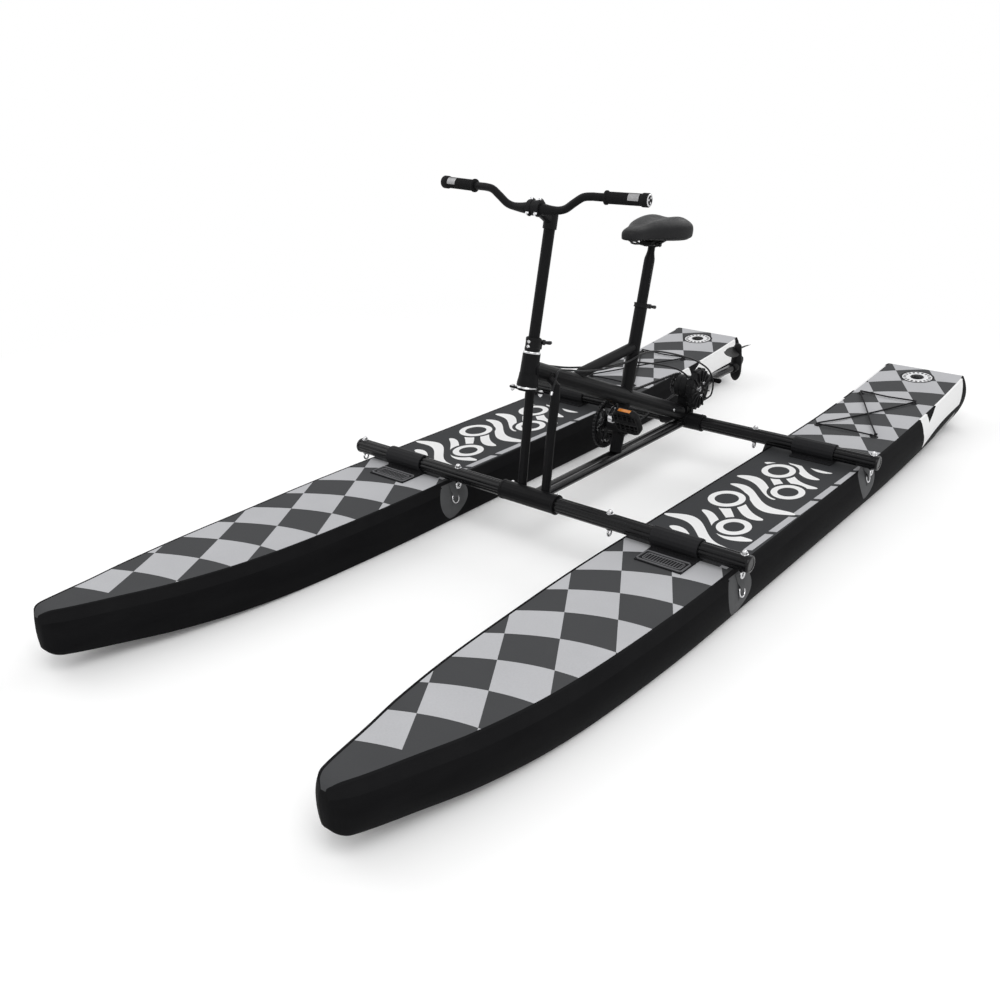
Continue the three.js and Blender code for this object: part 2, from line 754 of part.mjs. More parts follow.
// Saddle, post and collar
function saddleRing(share, half, top, low) {
  const y = saddleNoseY + (saddleRearY - saddleNoseY) * share;
  const points = [];
  for (let i = 0; i < saddleSides; i += 1) {
    const angle = (i / saddleSides) * Math.PI * 2;
    const across = Math.cos(angle);
    const up = Math.sin(angle);
    const middle = low + (top - low) * saddleMiddleShare;
    const drawn = up < 0 ? 1 + saddleDrawShare * up : 1;
    const x = half * Math.sign(across) * Math.abs(across) ** 0.6 * drawn;
    const z = up >= 0
      ? middle + (top - middle) * up ** 0.7 + saddleCrown * up * (1 - Math.abs(across))
      : middle + (low - middle) * (-up) ** 0.55;
    points.push(at(x, y, z));
  }
  return points;
}
const saddleBody = skin(saddleStations.map((s) => saddleRing(...s)).map((ring) => ring.reverse()));
piece('saddle', saddleBody, saddleSkin);

const postTop = alongSeat(postHigh);
const railZ = postTop.z + saddleRailDrop;
const [tailX, tailY, tailZ] = saddleRailTail;
const saddleRail = (side, spare) => sweep([
  ...saddleRailNose.map(([x, y, z]) => at(side * x, saddleNoseY + y, railZ + z)),
  at(side * saddleRailSpread, postTop.y - saddleRailFront, railZ),
  at(side * saddleRailSpread, postTop.y + saddleRailBack, railZ),
  at(side * (saddleRailSpread + tailX), saddleRearY - tailY, railZ + tailZ),
], saddleRailRadius + spare, saddleRailSteps, eyeWireSides);
const railBridge = block(at(0, saddleNoseY + noseBridgeAt[0], railZ + noseBridgeAt[1]), noseBridge);
const rearBridge = block(at(0, saddleRearY - tailBridgeAt[0], railZ + tailBridgeAt[1]), tailBridge);
piece('saddle_rails', largest(without(joined(saddleRail(1, 0), saddleRail(-1, 0), railBridge, rearBridge),
  saddleBody.translate([0, 0, -fit]), saddleBody)), steel);
const headBlock = block(at(0, postTop.y + clampBlockBack, railZ - clampBlockDrop), clampBlock);
piece('seat_post', without(joined(rod(alongSeat(postLow), postTop, postRadius), headBlock),
  saddleRail(1, fit), saddleRail(-1, fit)), frameBlack);
const seatTilt = Math.atan2(seatDirection.y, seatDirection.z);
const seatCollarMiddle = alongSeat(seatCollarLow + seatCollarHeight / 2);
const seatEar = block(at(0, earY + seatEarBack, 0), [collarEarThick, collarEar, seatCollarHeight - seatCollarTrim]);
piece('seat_collar', without(joined(
  pipe(alongSeat(seatCollarLow), alongSeat(seatCollarLow + seatCollarHeight), seatCollarRadius, seatRadius + fit,
    seatCollarRadius, roundSides),
  turned(seatEar, seatCollarMiddle, seatTilt),
), turned(pinBody(collarEarThick, leverPin + fit, 0), seatCollarMiddle, seatTilt)), blackPlastic);
piece('seat_lever', turned(lever(0), seatCollarMiddle, seatTilt), steel);

// Cranks, chainring, chain and pedals
function crankArm(side, turn) {
  const dy = Math.cos(turn) * crankLength;
  const dz = Math.sin(turn) * crankLength;
  const inner = side * crankInner;
  const outer = side * (crankInner + crankThick);
  const hub = rod(at(inner, bottomY, bottomZ), at(outer, bottomY, bottomZ), crankHubRadius);
  const tip = rod(at(inner, bottomY + dy, bottomZ + dz), at(outer, bottomY + dy, bottomZ + dz), crankEndRadius);
  const arm = block(at(0, 0, 0), [crankThick - crankArmTrim, crankLength, crankEndRadius * crankArmTaper], turn)
    .translate([(inner + outer) / 2, bottomY + dy / 2, bottomZ + dz / 2]);
  const axleEnd = at(outer + side * (pedalGap + pedalWidth - pedalAxleShort), bottomY + dy, bottomZ + dz);
  const axle = rod(at(inner, bottomY + dy, bottomZ + dz), axleEnd, pedalAxle, pedalAxle, smallSides);
  return joined(hub, tip, arm, axle);
}
const spindle = rod(at(-crankInner - over, bottomY, bottomZ), at(crankInner - fit, bottomY, bottomZ), spindleRadius);
piece('crank_left', crankArm(1, crankRise), anodised);
piece('crank_right', joined(crankArm(-1, crankRise + Math.PI), spindle), anodised);

const ringDisc = rod(at(ringX - ringThick / 2, bottomY, bottomZ), at(ringX + ringThick / 2, bottomY, bottomZ),
  ringRadius, ringRadius, tubeSides * 2);
const ringHoles = [];
for (let i = 0; i < ringWindows; i += 1) {
  const angle = (i / ringWindows) * Math.PI * 2 + crankRise;
  const y = bottomY + Math.cos(angle) * ringWindowPlace;
  const z = bottomZ + Math.sin(angle) * ringWindowPlace;
  ringHoles.push(rod(at(ringX - ringThick, y, z), at(ringX + ringThick, y, z), ringWindowRadius,
    ringWindowRadius, smallSides));
}
const ringHole = rod(at(ringX - ringThick, bottomY, bottomZ), at(ringX + ringThick, bottomY, bottomZ), ringBore);
piece('chainring', without(ringDisc, ringHole, ...ringHoles), anodised);

function beltShape(extra) {
  const dy = gearY - bottomY;
  const dz = gearZ - bottomZ;
  const span = Math.hypot(dy, dz);
  const lean = Math.atan2(dz, dy);
  const big = ringRadius + extra;
  const small = sprocketRadius + extra;
  const wrap = Math.acos((big - small) / span);
  const points = [];
  const bigSteps = 20;
  const smallSteps = 8;
  for (let i = 0; i <= bigSteps; i += 1) {
    const angle = lean + wrap + (i / bigSteps) * (Math.PI * 2 - wrap * 2);
    points.push(new THREE.Vector2(bottomY + Math.cos(angle) * big, bottomZ + Math.sin(angle) * big));
  }
  for (let i = 0; i <= smallSteps; i += 1) {
    const angle = lean - wrap + (i / smallSteps) * wrap * 2;
    points.push(new THREE.Vector2(gearY + Math.cos(angle) * small, gearZ + Math.sin(angle) * small));
  }
  return points;
}
const chainBand = new THREE.Shape(beltShape(chainOutside));
chainBand.holes.push(new THREE.Path(beltShape(chainInside + fit)));
piece('chain', plate(chainBand, ringX - chainWidth / 2, chainWidth), chainSteel);

function roundedRect(halfLong, halfWide, corner) {
  const shape = new THREE.Shape();
  const corners = [[1, 1, 0], [-1, 1, 1], [-1, -1, 2], [1, -1, 3]];
  const points = [];
  for (const [sx, sy, quarter] of corners) {
    for (let i = 0; i <= 4; i += 1) {
      const angle = (quarter + i / 4) * Math.PI / 2;
      points.push(new THREE.Vector2(sx * (halfLong - corner) + Math.cos(angle) * corner,
        sy * (halfWide - corner) + Math.sin(angle) * corner));
    }
  }
  shape.setFromPoints(points);
  return shape;
}

function pedal(side, turn) {
  const y = bottomY + Math.cos(turn) * crankLength;
  const z = bottomZ + Math.sin(turn) * crankLength;
  const x = side * (crankInner + crankThick + pedalGap + pedalWidth / 2);
  const outline = new THREE.ExtrudeGeometry(roundedRect(pedalWidth / 2, pedalLength / 2, pedalCorner),
    { depth: pedalThick, bevelEnabled: false });
  outline.translate(0, 0, -pedalThick / 2);
  const windows = [];
  for (const sx of [-1, 1]) {
    for (const sy of [-1, 1]) {
      windows.push(block(at(sx * pedalWindowPlace, sy * pedalWindowPlace, 0), [...pedalWindow, pedalThick * 2]));
    }
  }
  const bore = rod(at(-pedalWidth, 0, 0), at(pedalWidth, 0, 0), pedalBore, pedalBore, smallSides);
  const body = without(solid(outline), ...windows, bore);
  return body.rotate([THREE.MathUtils.radToDeg(pedalTurn), 0, 0]).translate([x, y, z]);
}
piece('pedal_left', pedal(1, crankRise), blackPlastic);
piece('pedal_right', pedal(-1, crankRise + Math.PI), blackPlastic);

// Drive unit: case, cover, sprocket, tilting leg head
const gearHole = rod(at(gearInner - over, gearY, gearZ), at(gearOuter - over, gearY, gearZ), gearBore);
const cheekLinks = [];
for (const side of [1, -1]) {
  const outline = new THREE.Shape([
    new THREE.Vector2(gearY, gearZ - gearRadius + linkInset), new THREE.Vector2(tiltY, tiltZ - cheekRadius),
    new THREE.Vector2(tiltY, tiltZ + cheekRadius), new THREE.Vector2(gearY, gearZ + gearRadius - linkInset),
  ]);
  const thick = cheekOuter - cheekInner;
  const x = side > 0 ? cheekInner : -cheekOuter;
  cheekLinks.push(plate(outline, x, thick), rod(at(x, tiltY, tiltZ), at(x + thick, tiltY, tiltZ), cheekRadius));
}
const tiltClear = rod(at(-cheekInner, tiltY, tiltZ), at(cheekInner, tiltY, tiltZ), headBarrel + barrelClear);
const pinHole = rod(at(-cheekOuter - over, tiltY, tiltZ), at(cheekOuter + over, tiltY, tiltZ), tiltPin + fit);

const coverStart = gearOuter - over;
const coverFlat = coverStart + coverThick - coverEdge;
const cover = joined(
  rod(at(coverStart, gearY, gearZ), at(coverFlat, gearY, gearZ), coverRadius, coverRadius, coverSides),
  rod(at(coverFlat, gearY, gearZ), at(coverStart + coverThick, gearY, gearZ), coverRadius, coverRadius - coverEdge,
    coverSides),
);
piece('drive_case', without(joined(gearSolid(0), ...cheekLinks), gearHole, tiltClear, pinHole).add(cover),
  blackPlastic);

const sprocketDisc = rod(at(ringX - sprocketThick / 2, gearY, gearZ), at(ringX + sprocketThick / 2, gearY, gearZ),
  sprocketRadius, sprocketRadius, roundSides);
const sprocketShaft = rod(at(ringX - sprocketEnd, gearY, gearZ), at(gearOuter - over * 2, gearY, gearZ), gearShaft);
const sprocketBoss = rod(at(ringX - sprocketEnd, gearY, gearZ), at(gearInner - over, gearY, gearZ), sprocketHub);
piece('drive_sprocket', joined(sprocketDisc, sprocketShaft, sprocketBoss), chainSteel);

const bracketTop = gearZ;
const bracketLow = tubeHeight + socketRadius * 0.5;
piece('drive_bracket', largest(without(
  block(at(0, gearY + bracketForward, (bracketTop + bracketLow) / 2),
    [bracketHalfX * 2, bracketHalfY * 2, bracketTop - bracketLow]),
  gearSolid(fit), socketBody(rearTubeY, rearSocketHalf, fit), beamBody(fit),
  block(at(0, gearY, gearZ), [bracketHalfX * 3, gearRadius * 3, gearRadius]),
)), frameBlack);

// The leg is drawn hanging straight down, then swung up behind the unit
const legTurn = Math.PI / 2 + legRaise;
const swing = (body) => body.translate([0, -tiltY, -tiltZ]).rotate([THREE.MathUtils.radToDeg(legTurn), 0, 0])
  .translate([0, tiltY, tiltZ]);
const down = (s) => at(0, tiltY, tiltZ - s);
const barrel = rod(at(-cheekInner + slip, tiltY, tiltZ), at(cheekInner - slip, tiltY, tiltZ), headBarrel);
const legSleeve = rod(down(0), down(sleeveEnd), sleeveOuter);
const legBore = rod(down(sleeveStart), down(sleeveEnd + over), driveTubeRadius + slip);
const shaftBore = rod(down(shaftBoreStart), down(sleeveStart + over), shaftRadius + fit);
const legPin = rod(at(-cheekOuter, tiltY, tiltZ), at(cheekOuter, tiltY, tiltZ), tiltPin);
piece('leg_head', swing(without(joined(barrel, legSleeve, legPin), legBore, shaftBore)), blackPlastic);

const quadrantWing = (side) => joined(
  block(at(side * quadrantReach / 2, tiltY, tiltZ - quadrantStart - quadrantThick / 2),
    [quadrantReach, quadrantWidth, quadrantThick]),
  rod(down(quadrantStart).add(at(side * quadrantReach, 0, 0)),
    down(quadrantStart + quadrantThick).add(at(side * quadrantReach, 0, 0)), quadrantTip),
);
const podEnd = legLength - podRadius + over * 2;
const driveTube = without(
  joined(rod(down(driveTubeStart), down(podEnd), driveTubeRadius), quadrantWing(1), quadrantWing(-1)),
  rod(down(driveTubeStart - over), down(podEnd + over), driveTubeBore),
);
piece('leg_tube', swing(driveTube), anodised);
const shaftEnd = legLength - podRadius - shaftRadius;
piece('leg_shaft', swing(rod(down(shaftStart), down(shaftEnd), shaftRadius, shaftRadius, legSides)), steel);

const hubStart = tiltY + podRear + propGap;
const propAxle = (y, radius, end) => rod(at(0, y, tiltZ - legLength), at(0, end, tiltZ - legLength), radius);
const propBore = propAxle(hubStart - propShaftDepth - over, propShaft + fit, hubStart + over);
const podLine = podProfile.map(([radius, y]) => new THREE.Vector2(radius, y));
const podBody = solid(new THREE.LatheGeometry(podLine, tubeSides).translate(0, tiltY, tiltZ - legLength));
const podCollar = rod(down(legLength - podNeck), down(legLength), driveTubeRadius + podNeckThick);
const podSkeg = block(at(0, tiltY + skegBack, tiltZ - legLength - podRadius - skegDrop), skegSize);
piece('drive_pod', swing(without(joined(podBody, podCollar, podSkeg),
  rod(down(0), down(legLength - podRadius + podSocket), driveTubeRadius + fit), propBore)), blackPlastic);

const hubEnd = hubStart + propHubLength;
const hubEndRadius = propHubRadius - propHubTaper;
const hub = joined(
  rod(at(0, hubStart, 0), at(0, hubEnd, 0), propHubRadius, hubEndRadius),
  rod(at(0, hubEnd - over, 0), at(0, hubEnd + propNose, 0), hubEndRadius, propNoseRadius),
);
function blade(side) {
  const outline = new THREE.Shape(bladeOutline.map(([x, z]) => new THREE.Vector2(x, z)));
  const geometry = new THREE.ExtrudeGeometry(outline, { depth: propBladeThick, bevelEnabled: false });
  geometry.translate(0, 0, -propBladeThick / 2);
  geometry.rotateX(Math.PI / 2 + propPitch);
  if (side < 0) geometry.rotateY(Math.PI);
  geometry.rotateY(Math.PI / 2);
  geometry.translate(0, hubStart + propHubLength / 2, 0);
  return solid(geometry);
}
const propAxleBody = propAxle(hubStart - propShaftDepth, propShaft, hubStart + over);
piece('propeller', swing(joined(hub, blade(1), blade(-1)).translate([0, 0, tiltZ - legLength]).add(propAxleBody)),
  blackPlastic);

// Deck cords, tied off at the outer front anchor
const cordLift = (y) => deckTop(y) + anchorHeight + bungeeRadius + slip;
for (const [name, side] of sides) {
  const cx = side * hullSpread + bungeeShift;
  const corner = (dx, y, lift = 0) => at(cx + side * dx * bungeeSpread, y, cordLift(y) + lift);
  const middleY = (bungeeFront + bungeeRear) / 2;
  const route = [
    corner(1.02, bungeeFront + 10, 0), corner(0.5, middleY - bungeeCross, 2), corner(0, middleY, 4),
    corner(-0.5, middleY + bungeeCross, 2), corner(-1, bungeeRear - 6), corner(-0.9, bungeeRear + 8),
    corner(0, bungeeRear + 2, -1), corner(0.9, bungeeRear + 8), corner(1, bungeeRear - 6, 0.4),
    corner(0.5, middleY + bungeeCross, -3), corner(0, middleY, -4), corner(-0.5, middleY - bungeeCross, -3),
    corner(-1, bungeeFront + 6), corner(-0.9, bungeeFront - 8), corner(0, bungeeFront - 2, -1),
    corner(0.92, bungeeFront - 8, 0),
  ];
  piece(`deck_cord_${name}`, sweep(route, bungeeRadius, bungeeSteps, 8), blackRubber);
}

// Steering cables from the head tube to the drive unit
const cableRoutes = {
  upper: [
    [64, -372, 528], [62, -352, 560], [52, -318, 586], [40, -250, 572], [33, -150, 545], [27, -13, 522],
    [25.6, 120, 516], [25.6, 205, 524], [20, 300, 512], [14, 409, 482], [10, 520, 446], [12, 620, 408],
    [26, 702, 358], [38, 728, 305], [42, 716, 262], [40, 690, 250], [26, 650, 240], [16, 617.1, 237],
  ],
  lower: [
    [-64, -372, 528], [-62, -352, 560], [-52, -318, 586], [-40, -250, 572], [-33, -150, 545], [-27, -13, 518],
    [-25.6, 100, 497], [-25.6, 182, 490], [-12, 280, 470], [6, 400, 436], [16, 480, 406], [20, 540, 372],
    [21, 565, 347],
  ],
};
for (const [name, route] of Object.entries(cableRoutes)) {
  piece(`steering_cable_${name}`, sweep(route.map(from), cableRadius, cableSteps, 8), blackRubber);
}

export default group;
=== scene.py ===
import bpy
import bmesh
import json
from math import acos, atan2, copysign, cos, exp, hypot, pi, radians, sin, sqrt, tau
from mathutils import Vector, Matrix, Quaternion


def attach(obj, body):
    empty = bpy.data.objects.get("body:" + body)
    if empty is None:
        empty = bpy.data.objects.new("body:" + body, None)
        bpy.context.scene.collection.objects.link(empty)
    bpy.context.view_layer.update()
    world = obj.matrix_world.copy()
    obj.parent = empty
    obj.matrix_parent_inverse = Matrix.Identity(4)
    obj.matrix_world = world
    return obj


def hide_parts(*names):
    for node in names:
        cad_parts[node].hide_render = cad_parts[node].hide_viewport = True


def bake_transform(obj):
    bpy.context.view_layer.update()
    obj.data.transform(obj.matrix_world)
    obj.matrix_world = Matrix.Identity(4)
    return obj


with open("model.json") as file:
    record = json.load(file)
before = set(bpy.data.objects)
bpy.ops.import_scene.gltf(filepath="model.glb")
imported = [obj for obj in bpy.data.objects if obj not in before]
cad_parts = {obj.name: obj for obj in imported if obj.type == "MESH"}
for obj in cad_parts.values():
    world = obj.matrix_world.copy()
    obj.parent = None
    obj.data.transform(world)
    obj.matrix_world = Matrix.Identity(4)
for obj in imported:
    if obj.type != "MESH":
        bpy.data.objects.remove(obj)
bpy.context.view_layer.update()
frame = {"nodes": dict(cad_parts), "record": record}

# Millimetres of the part's own drawing, turned into metres about the centre of the box
MM = 0.001
CENTRE_Y = 17.5
SIDES = (("left", 1), ("right", -1))


def at(x, y, z):
    return Vector((x, y - CENTRE_Y, z)) * MM


def mix(a, b, t):
    return a + (b - a) * t


def clamp(value):
    return min(1, max(0, value))


def squarish(wave, power):
    """A sine or cosine drawn out towards a square."""
    return copysign(abs(wave) ** power, wave)


def turns(count, start=0.0):
    """Angles spread evenly round a full turn."""
    return [start + tau * k / count for k in range(count)]


# Shader graphs
def arithmetic(operation, turned=False):
    """A method that joins a value to another with one math node."""
    def joined(self, other=0.0):
        return self.graph.math(operation, *((other, self) if turned else (self, other)))
    return joined


class Value:
    """An output of a shader graph that takes plain arithmetic."""

    def __init__(self, graph, socket):
        self.graph = graph
        self.socket = socket

    __add__ = __radd__ = arithmetic("ADD")
    __sub__ = arithmetic("SUBTRACT")
    __rsub__ = arithmetic("SUBTRACT", True)
    __mul__ = __rmul__ = arithmetic("MULTIPLY")
    __truediv__ = arithmetic("DIVIDE")
    __mod__ = arithmetic("FLOORED_MODULO")
    __gt__ = arithmetic("GREATER_THAN")
    __lt__ = arithmetic("LESS_THAN")
    __and__ = arithmetic("MULTIPLY")
    __or__ = at_least = arithmetic("MAXIMUM")
    __abs__ = arithmetic("ABSOLUTE")
    floor = arithmetic("FLOOR")
    fract = arithmetic("FRACT")
    sine = arithmetic("SINE")
    exponent = arithmetic("EXPONENT")
    root = arithmetic("SQRT")
    angle_from = arithmetic("ARCTAN2")


class Graph:
    """A material's node tree, with the nodes that the materials share."""

    def __init__(self, name, color, roughness, metallic=0.0, **sockets):
        self.mat = bpy.data.materials.new(name)
        self.mat.use_nodes = True
        self.tree = self.mat.node_tree
        self.shader = self.tree.nodes["Principled BSDF"]
        self.set("Base Color", (*color, 1))
        self.set("Roughness", roughness)
        self.set("Metallic", metallic)
        for key, value in sockets.items():
            self.set(key.replace("_", " ").title().replace("Ior", "IOR"), value)
        self.coords = Value(self, self.tree.nodes.new("ShaderNodeTexCoord").outputs["Object"])

    def feed(self, socket, value):
        if isinstance(value, Value):
            self.tree.links.new(value.socket, socket)
        else:
            socket.default_value = value

    def set(self, socket, value):
        self.feed(self.shader.inputs[socket], value)

    def dressed(self, color, roughness, normal):
        self.set("Base Color", color)
        self.set("Roughness", roughness)
        self.set("Normal", normal)
        return self.mat

    def value(self, kind, inputs, output=0, **settings):
        made = self.tree.nodes.new(kind)
        for key, value in settings.items():
            setattr(made, key, value)
        for key, value in inputs.items():
            self.feed(made.inputs[key], value)
        return Value(self, made.outputs[output])

    def math(self, operation, a, b=0.0):
        return self.value("ShaderNodeMath", {0: a, 1: b}, operation=operation)

    def axes(self):
        return [self.value("ShaderNodeSeparateXYZ", {0: self.coords}, k) for k in range(3)]

    def noise(self, scale, detail=3.0, stretch=(1, 1, 1)):
        place = self.value("ShaderNodeMapping", {"Vector": self.coords, "Scale": stretch})
        return self.value("ShaderNodeTexNoise", {"Vector": place, "Scale": scale, "Detail": detail})

    def cells(self, scale):
        """Distance to the edges of small cells."""
        inputs = {"Vector": self.coords, "Scale": scale}
        return self.value("ShaderNodeTexVoronoi", inputs, feature="DISTANCE_TO_EDGE")

    def blend(self, factor, a, b):
        a, b = ((*color, 1) if isinstance(color, tuple) else color for color in (a, b))
        return self.value("ShaderNodeMix", {0: factor, 6: a, 7: b}, 2, data_type="RGBA")

    def ranged(self, value, low, high, to_low, to_high):
        return self.value("ShaderNodeMapRange", {0: value, 1: low, 2: high, 3: to_low, 4: to_high})

    def spread(self, noise, low, high):
        """The middle of a noise drawn out between two values."""
        return self.ranged(noise, 0.3, 0.7, low, high)

    def bump(self, height, strength, distance=0.001, under=None):
        inputs = {"Height": height, "Strength": strength, "Distance": distance}
        if under is not None:
            inputs["Normal"] = under
        return self.value("ShaderNodeBump", inputs)


# Materials
PALE_FLASH, PALE_STRIP, PALE_WAVE = (0.87, 0.87, 0.87), (0.375, 0.375, 0.375), (0.8, 0.8, 0.8)
DECK_LIGHT, DECK_DARK = (0.45, 0.4525, 0.4688), (0.0525, 0.0537, 0.0562)
DECK_MIDDLE = (0.0363, 0.0375, 0.04)
SOFT_BLACK = (0.015, 0.015, 0.0163)
RING_PALE, RING_TICK = (0.75, 0.75, 0.7625), (0.0375, 0.0375, 0.0387)


def varied(g, color, spread, rough, rough_spread, scale, bump=0.1, distance=0.0004, stretch=(1, 1, 1)):
    """Cloudy colour and roughness, and a fine grain under them."""
    cloud = g.noise(scale * 0.12)
    grain = g.noise(scale, 4.0, stretch)
    low, high = (tuple(c * (1 + way * spread) for c in color) for way in (-1, 1))
    roughness = g.spread(grain, rough - rough_spread, rough + rough_spread)
    return g.dressed(g.blend(cloud, low, high), roughness, g.bump(grain, bump, distance))


def powder_coat():
    color = (0.0069, 0.0069, 0.0075)
    g = Graph("powder_coat", color, 0.42, specular_ior_level=0.07)
    return varied(g, color, 0.25, 0.42, 0.06, 900, 0.12, 0.0003)


def anodised(name="anodised", color=(0.0088, 0.0088, 0.0094)):
    g = Graph(name, color, 0.24, 0.3, specular_ior_level=0.22)
    return varied(g, color, 0.2, 0.24, 0.05, 500, 0.08, 0.0002, (0.03, 1, 1))


def steel():
    color = (0.62, 0.62, 0.63)
    return varied(Graph("stainless", color, 0.22, 1.0), color, 0.08, 0.22, 0.06, 700, 0.06, 0.0002)


def plastic(name="black_resin", color=(0.0075, 0.0075, 0.0081), rough=0.45):
    g = Graph(name, color, rough, specular_ior_level=0.1)
    return varied(g, color, 0.2, rough, 0.06, 1100, 0.16, 0.0003)


def rubber(name="black_rubber", color=(0.0088, 0.0088, 0.0094)):
    g = Graph(name, color, 0.68, specular_ior_level=0.08)
    return varied(g, color, 0.25, 0.68, 0.08, 1500, 0.25, 0.0004)


def chain_metal():
    color = (0.035, 0.035, 0.037)
    return varied(Graph("chain_metal", color, 0.4, 0.7), color, 0.3, 0.35, 0.1, 600, 0.1, 0.0002)


def silver_paint():
    color = (0.3, 0.3, 0.305)
    return varied(Graph("silver_paint", color, 0.4, 0.5), color, 0.15, 0.4, 0.06, 600)


def saddle_cover():
    """Closed-cell cover: fine cells under a faint cloud."""
    g = Graph("saddle_cover", SOFT_BLACK, 0.5, specular_ior_level=0.14)
    cloud = g.noise(40)
    color = g.blend(cloud, (0.0106, 0.0106, 0.0112), (0.0169, 0.0169, 0.0181))
    cells = g.ranged(g.cells(620.0), 0.0, 0.25, 0.0, 1.0)
    return g.dressed(color, g.spread(cloud, 0.42, 0.56), g.bump(cells, 0.25, 0.0003))


def stern_flash(y, z):
    """The pale flash along each stern, less its dark notch, and the pale strip below it, in metres."""
    low = 0.118 - 0.075 * ((1.2085 - y) / 0.13).exponent()
    front = 1.1815 + 0.37 * (0.114 - z).at_least(0.0)
    rear = 1.62 + 0.833 * (z - 0.102)
    flash = (z > low) & (y > front) & (y < rear)
    notch = (y > 1.2545) & (z > 0.137 + 0.367 * (y - 1.2585))
    strip = (z < 0.17 * y - 0.182) & (y > 1.385) & (y < 1.6)
    return flash & (1.0 - notch), strip


def hull_side():
    """Coated cloth: near black, faintly wrinkled, with the pale flash at the stern."""
    g = Graph("hull_side", (0.0069, 0.0069, 0.0075), 0.55, specular_ior_level=0.012)
    _, y, z = g.axes()
    wrinkle = g.noise(9.0, 3.0, (1, 0.6, 2.2))
    weave = g.noise(420.0, 2.0)
    flash, strip = stern_flash(y, z)
    cloth = g.blend(wrinkle, (0.0052, 0.0052, 0.0057), (0.0106, 0.0106, 0.0112))
    color = g.blend(flash, g.blend(strip, cloth, PALE_STRIP), PALE_FLASH)
    normal = g.bump(weave, 0.05, 0.0003, g.bump(wrinkle, 0.12, 0.006))
    return g.dressed(color, g.spread(weave, 0.46, 0.6), normal)


def hull_rail():
    """The seam cloth along the deck's edge, which carries the top of the flash."""
    g = Graph("hull_rail", (0.0094, 0.0094, 0.01), 0.6, specular_ior_level=0.015)
    _, y, z = g.axes()
    weave = g.noise(500.0, 2.0)
    cloth = g.blend(g.noise(12.0), (0.0081, 0.0081, 0.0088), (0.0125, 0.0125, 0.0131))
    color = g.blend(stern_flash(y, z)[0], cloth, PALE_FLASH)
    return g.dressed(color, g.spread(weave, 0.52, 0.68), g.bump(weave, 0.1, 0.0003))


def patch_cloth():
    g = Graph("patch_cloth", (0.075, 0.0762, 0.0788), 0.6, specular_ior_level=0.1)
    weave = g.noise(700.0, 2.0)
    color = g.blend(g.noise(30.0), (0.0625, 0.0638, 0.0663), (0.0975, 0.0988, 0.1013))
    return g.dressed(color, g.spread(weave, 0.5, 0.68), g.bump(weave, 0.2, 0.0003))


def reflector():
    """Moulded amber plastic with prisms behind it."""
    g = Graph("reflector_amber", (0.75, 0.25, 0.02), 0.18, coat_weight=0.6)
    prisms = g.cells(420.0)
    color = g.blend(g.ranged(prisms, 0.0, 0.3, 0.0, 1.0), (0.5, 0.13, 0.008), (0.85, 0.32, 0.03))
    return g.dressed(color, g.ranged(prisms, 0.0, 0.3, 0.3, 0.12), g.bump(prisms, 0.4, 0.0005))


# Deck print, in millimetres along and across each hull
PRINT_SET, PRINT_SHIFT = 0.0164, 12.0
CHECK_LENGTH, CHECK_WIDTH, CHECK_LEAN, CHECK_SLANT, CHECK_BEND = 261.5, 147.5, 1.639, 0.5, 0.0012
VALVE_Y, RING_SHIFT = 1655, 15.0
RING_OUTER, RING_EDGE, RING_EDGE_HALF, TICKS, TICK_HALF, TICK_COUNT = 68.0, 64.0, 4.5, 50.0, 6.0, 18.0
WAVE_STEP, WAVE_SWELL, WAVE_SWELL_STEP, WAVE_LEAN = 84.0, 30.0, 41.0, 0.42
WAVE_HALF, WAVE_DRIFT, WAVE_THICK = 104.0, 34.0, 0.3
WAVE_MIDDLE, WAVE_REACH = 110.0, 375.0
WAVE_RINGS = [(58.0, -118.0, 40.0), (-62.0, 64.0, 46.0), (66.0, 236.0, 42.0), (-40.0, 392.0, 44.0)]
LOOP_HALF, LOOP_CLEAR, LOOP_STRETCH = 10.0, 22.0, 0.8
DASH_STEP, DASH_SHARE, DASH_X, DASH_HALF = 160.0, 0.86, 164.0, 11.0


def deck_foam(g, color):
    """Ribbed closed-cell foam: fine lengthwise brushing and soft speckle."""
    speckle = g.noise(260.0, 4.0)
    ribs = g.noise(520.0, 2.0, (1, 0.12, 1))
    shade = 0.84 + (speckle * 0.18 + g.noise(7.0) * 0.14)
    grey = g.value("ShaderNodeCombineXYZ", {0: shade, 1: shade, 2: shade})
    toned = g.value("ShaderNodeVectorMath", {0: color, 1: grey}, operation="MULTIPLY")
    normal = g.bump(ribs, 0.35, 0.0006, g.bump(speckle, 0.2, 0.0004))
    return g.dressed(toned, g.spread(speckle, 0.72, 0.88), normal)


def deck_coordinates(g, centre_x):
    """Distance along the hull and across it in millimetres, with the print's slight set."""
    x, y, _ = g.axes()
    along = y * 1000.0 + CENTRE_Y
    return along, (x * 1000.0 - centre_x) + (PRINT_SHIFT - along * PRINT_SET)


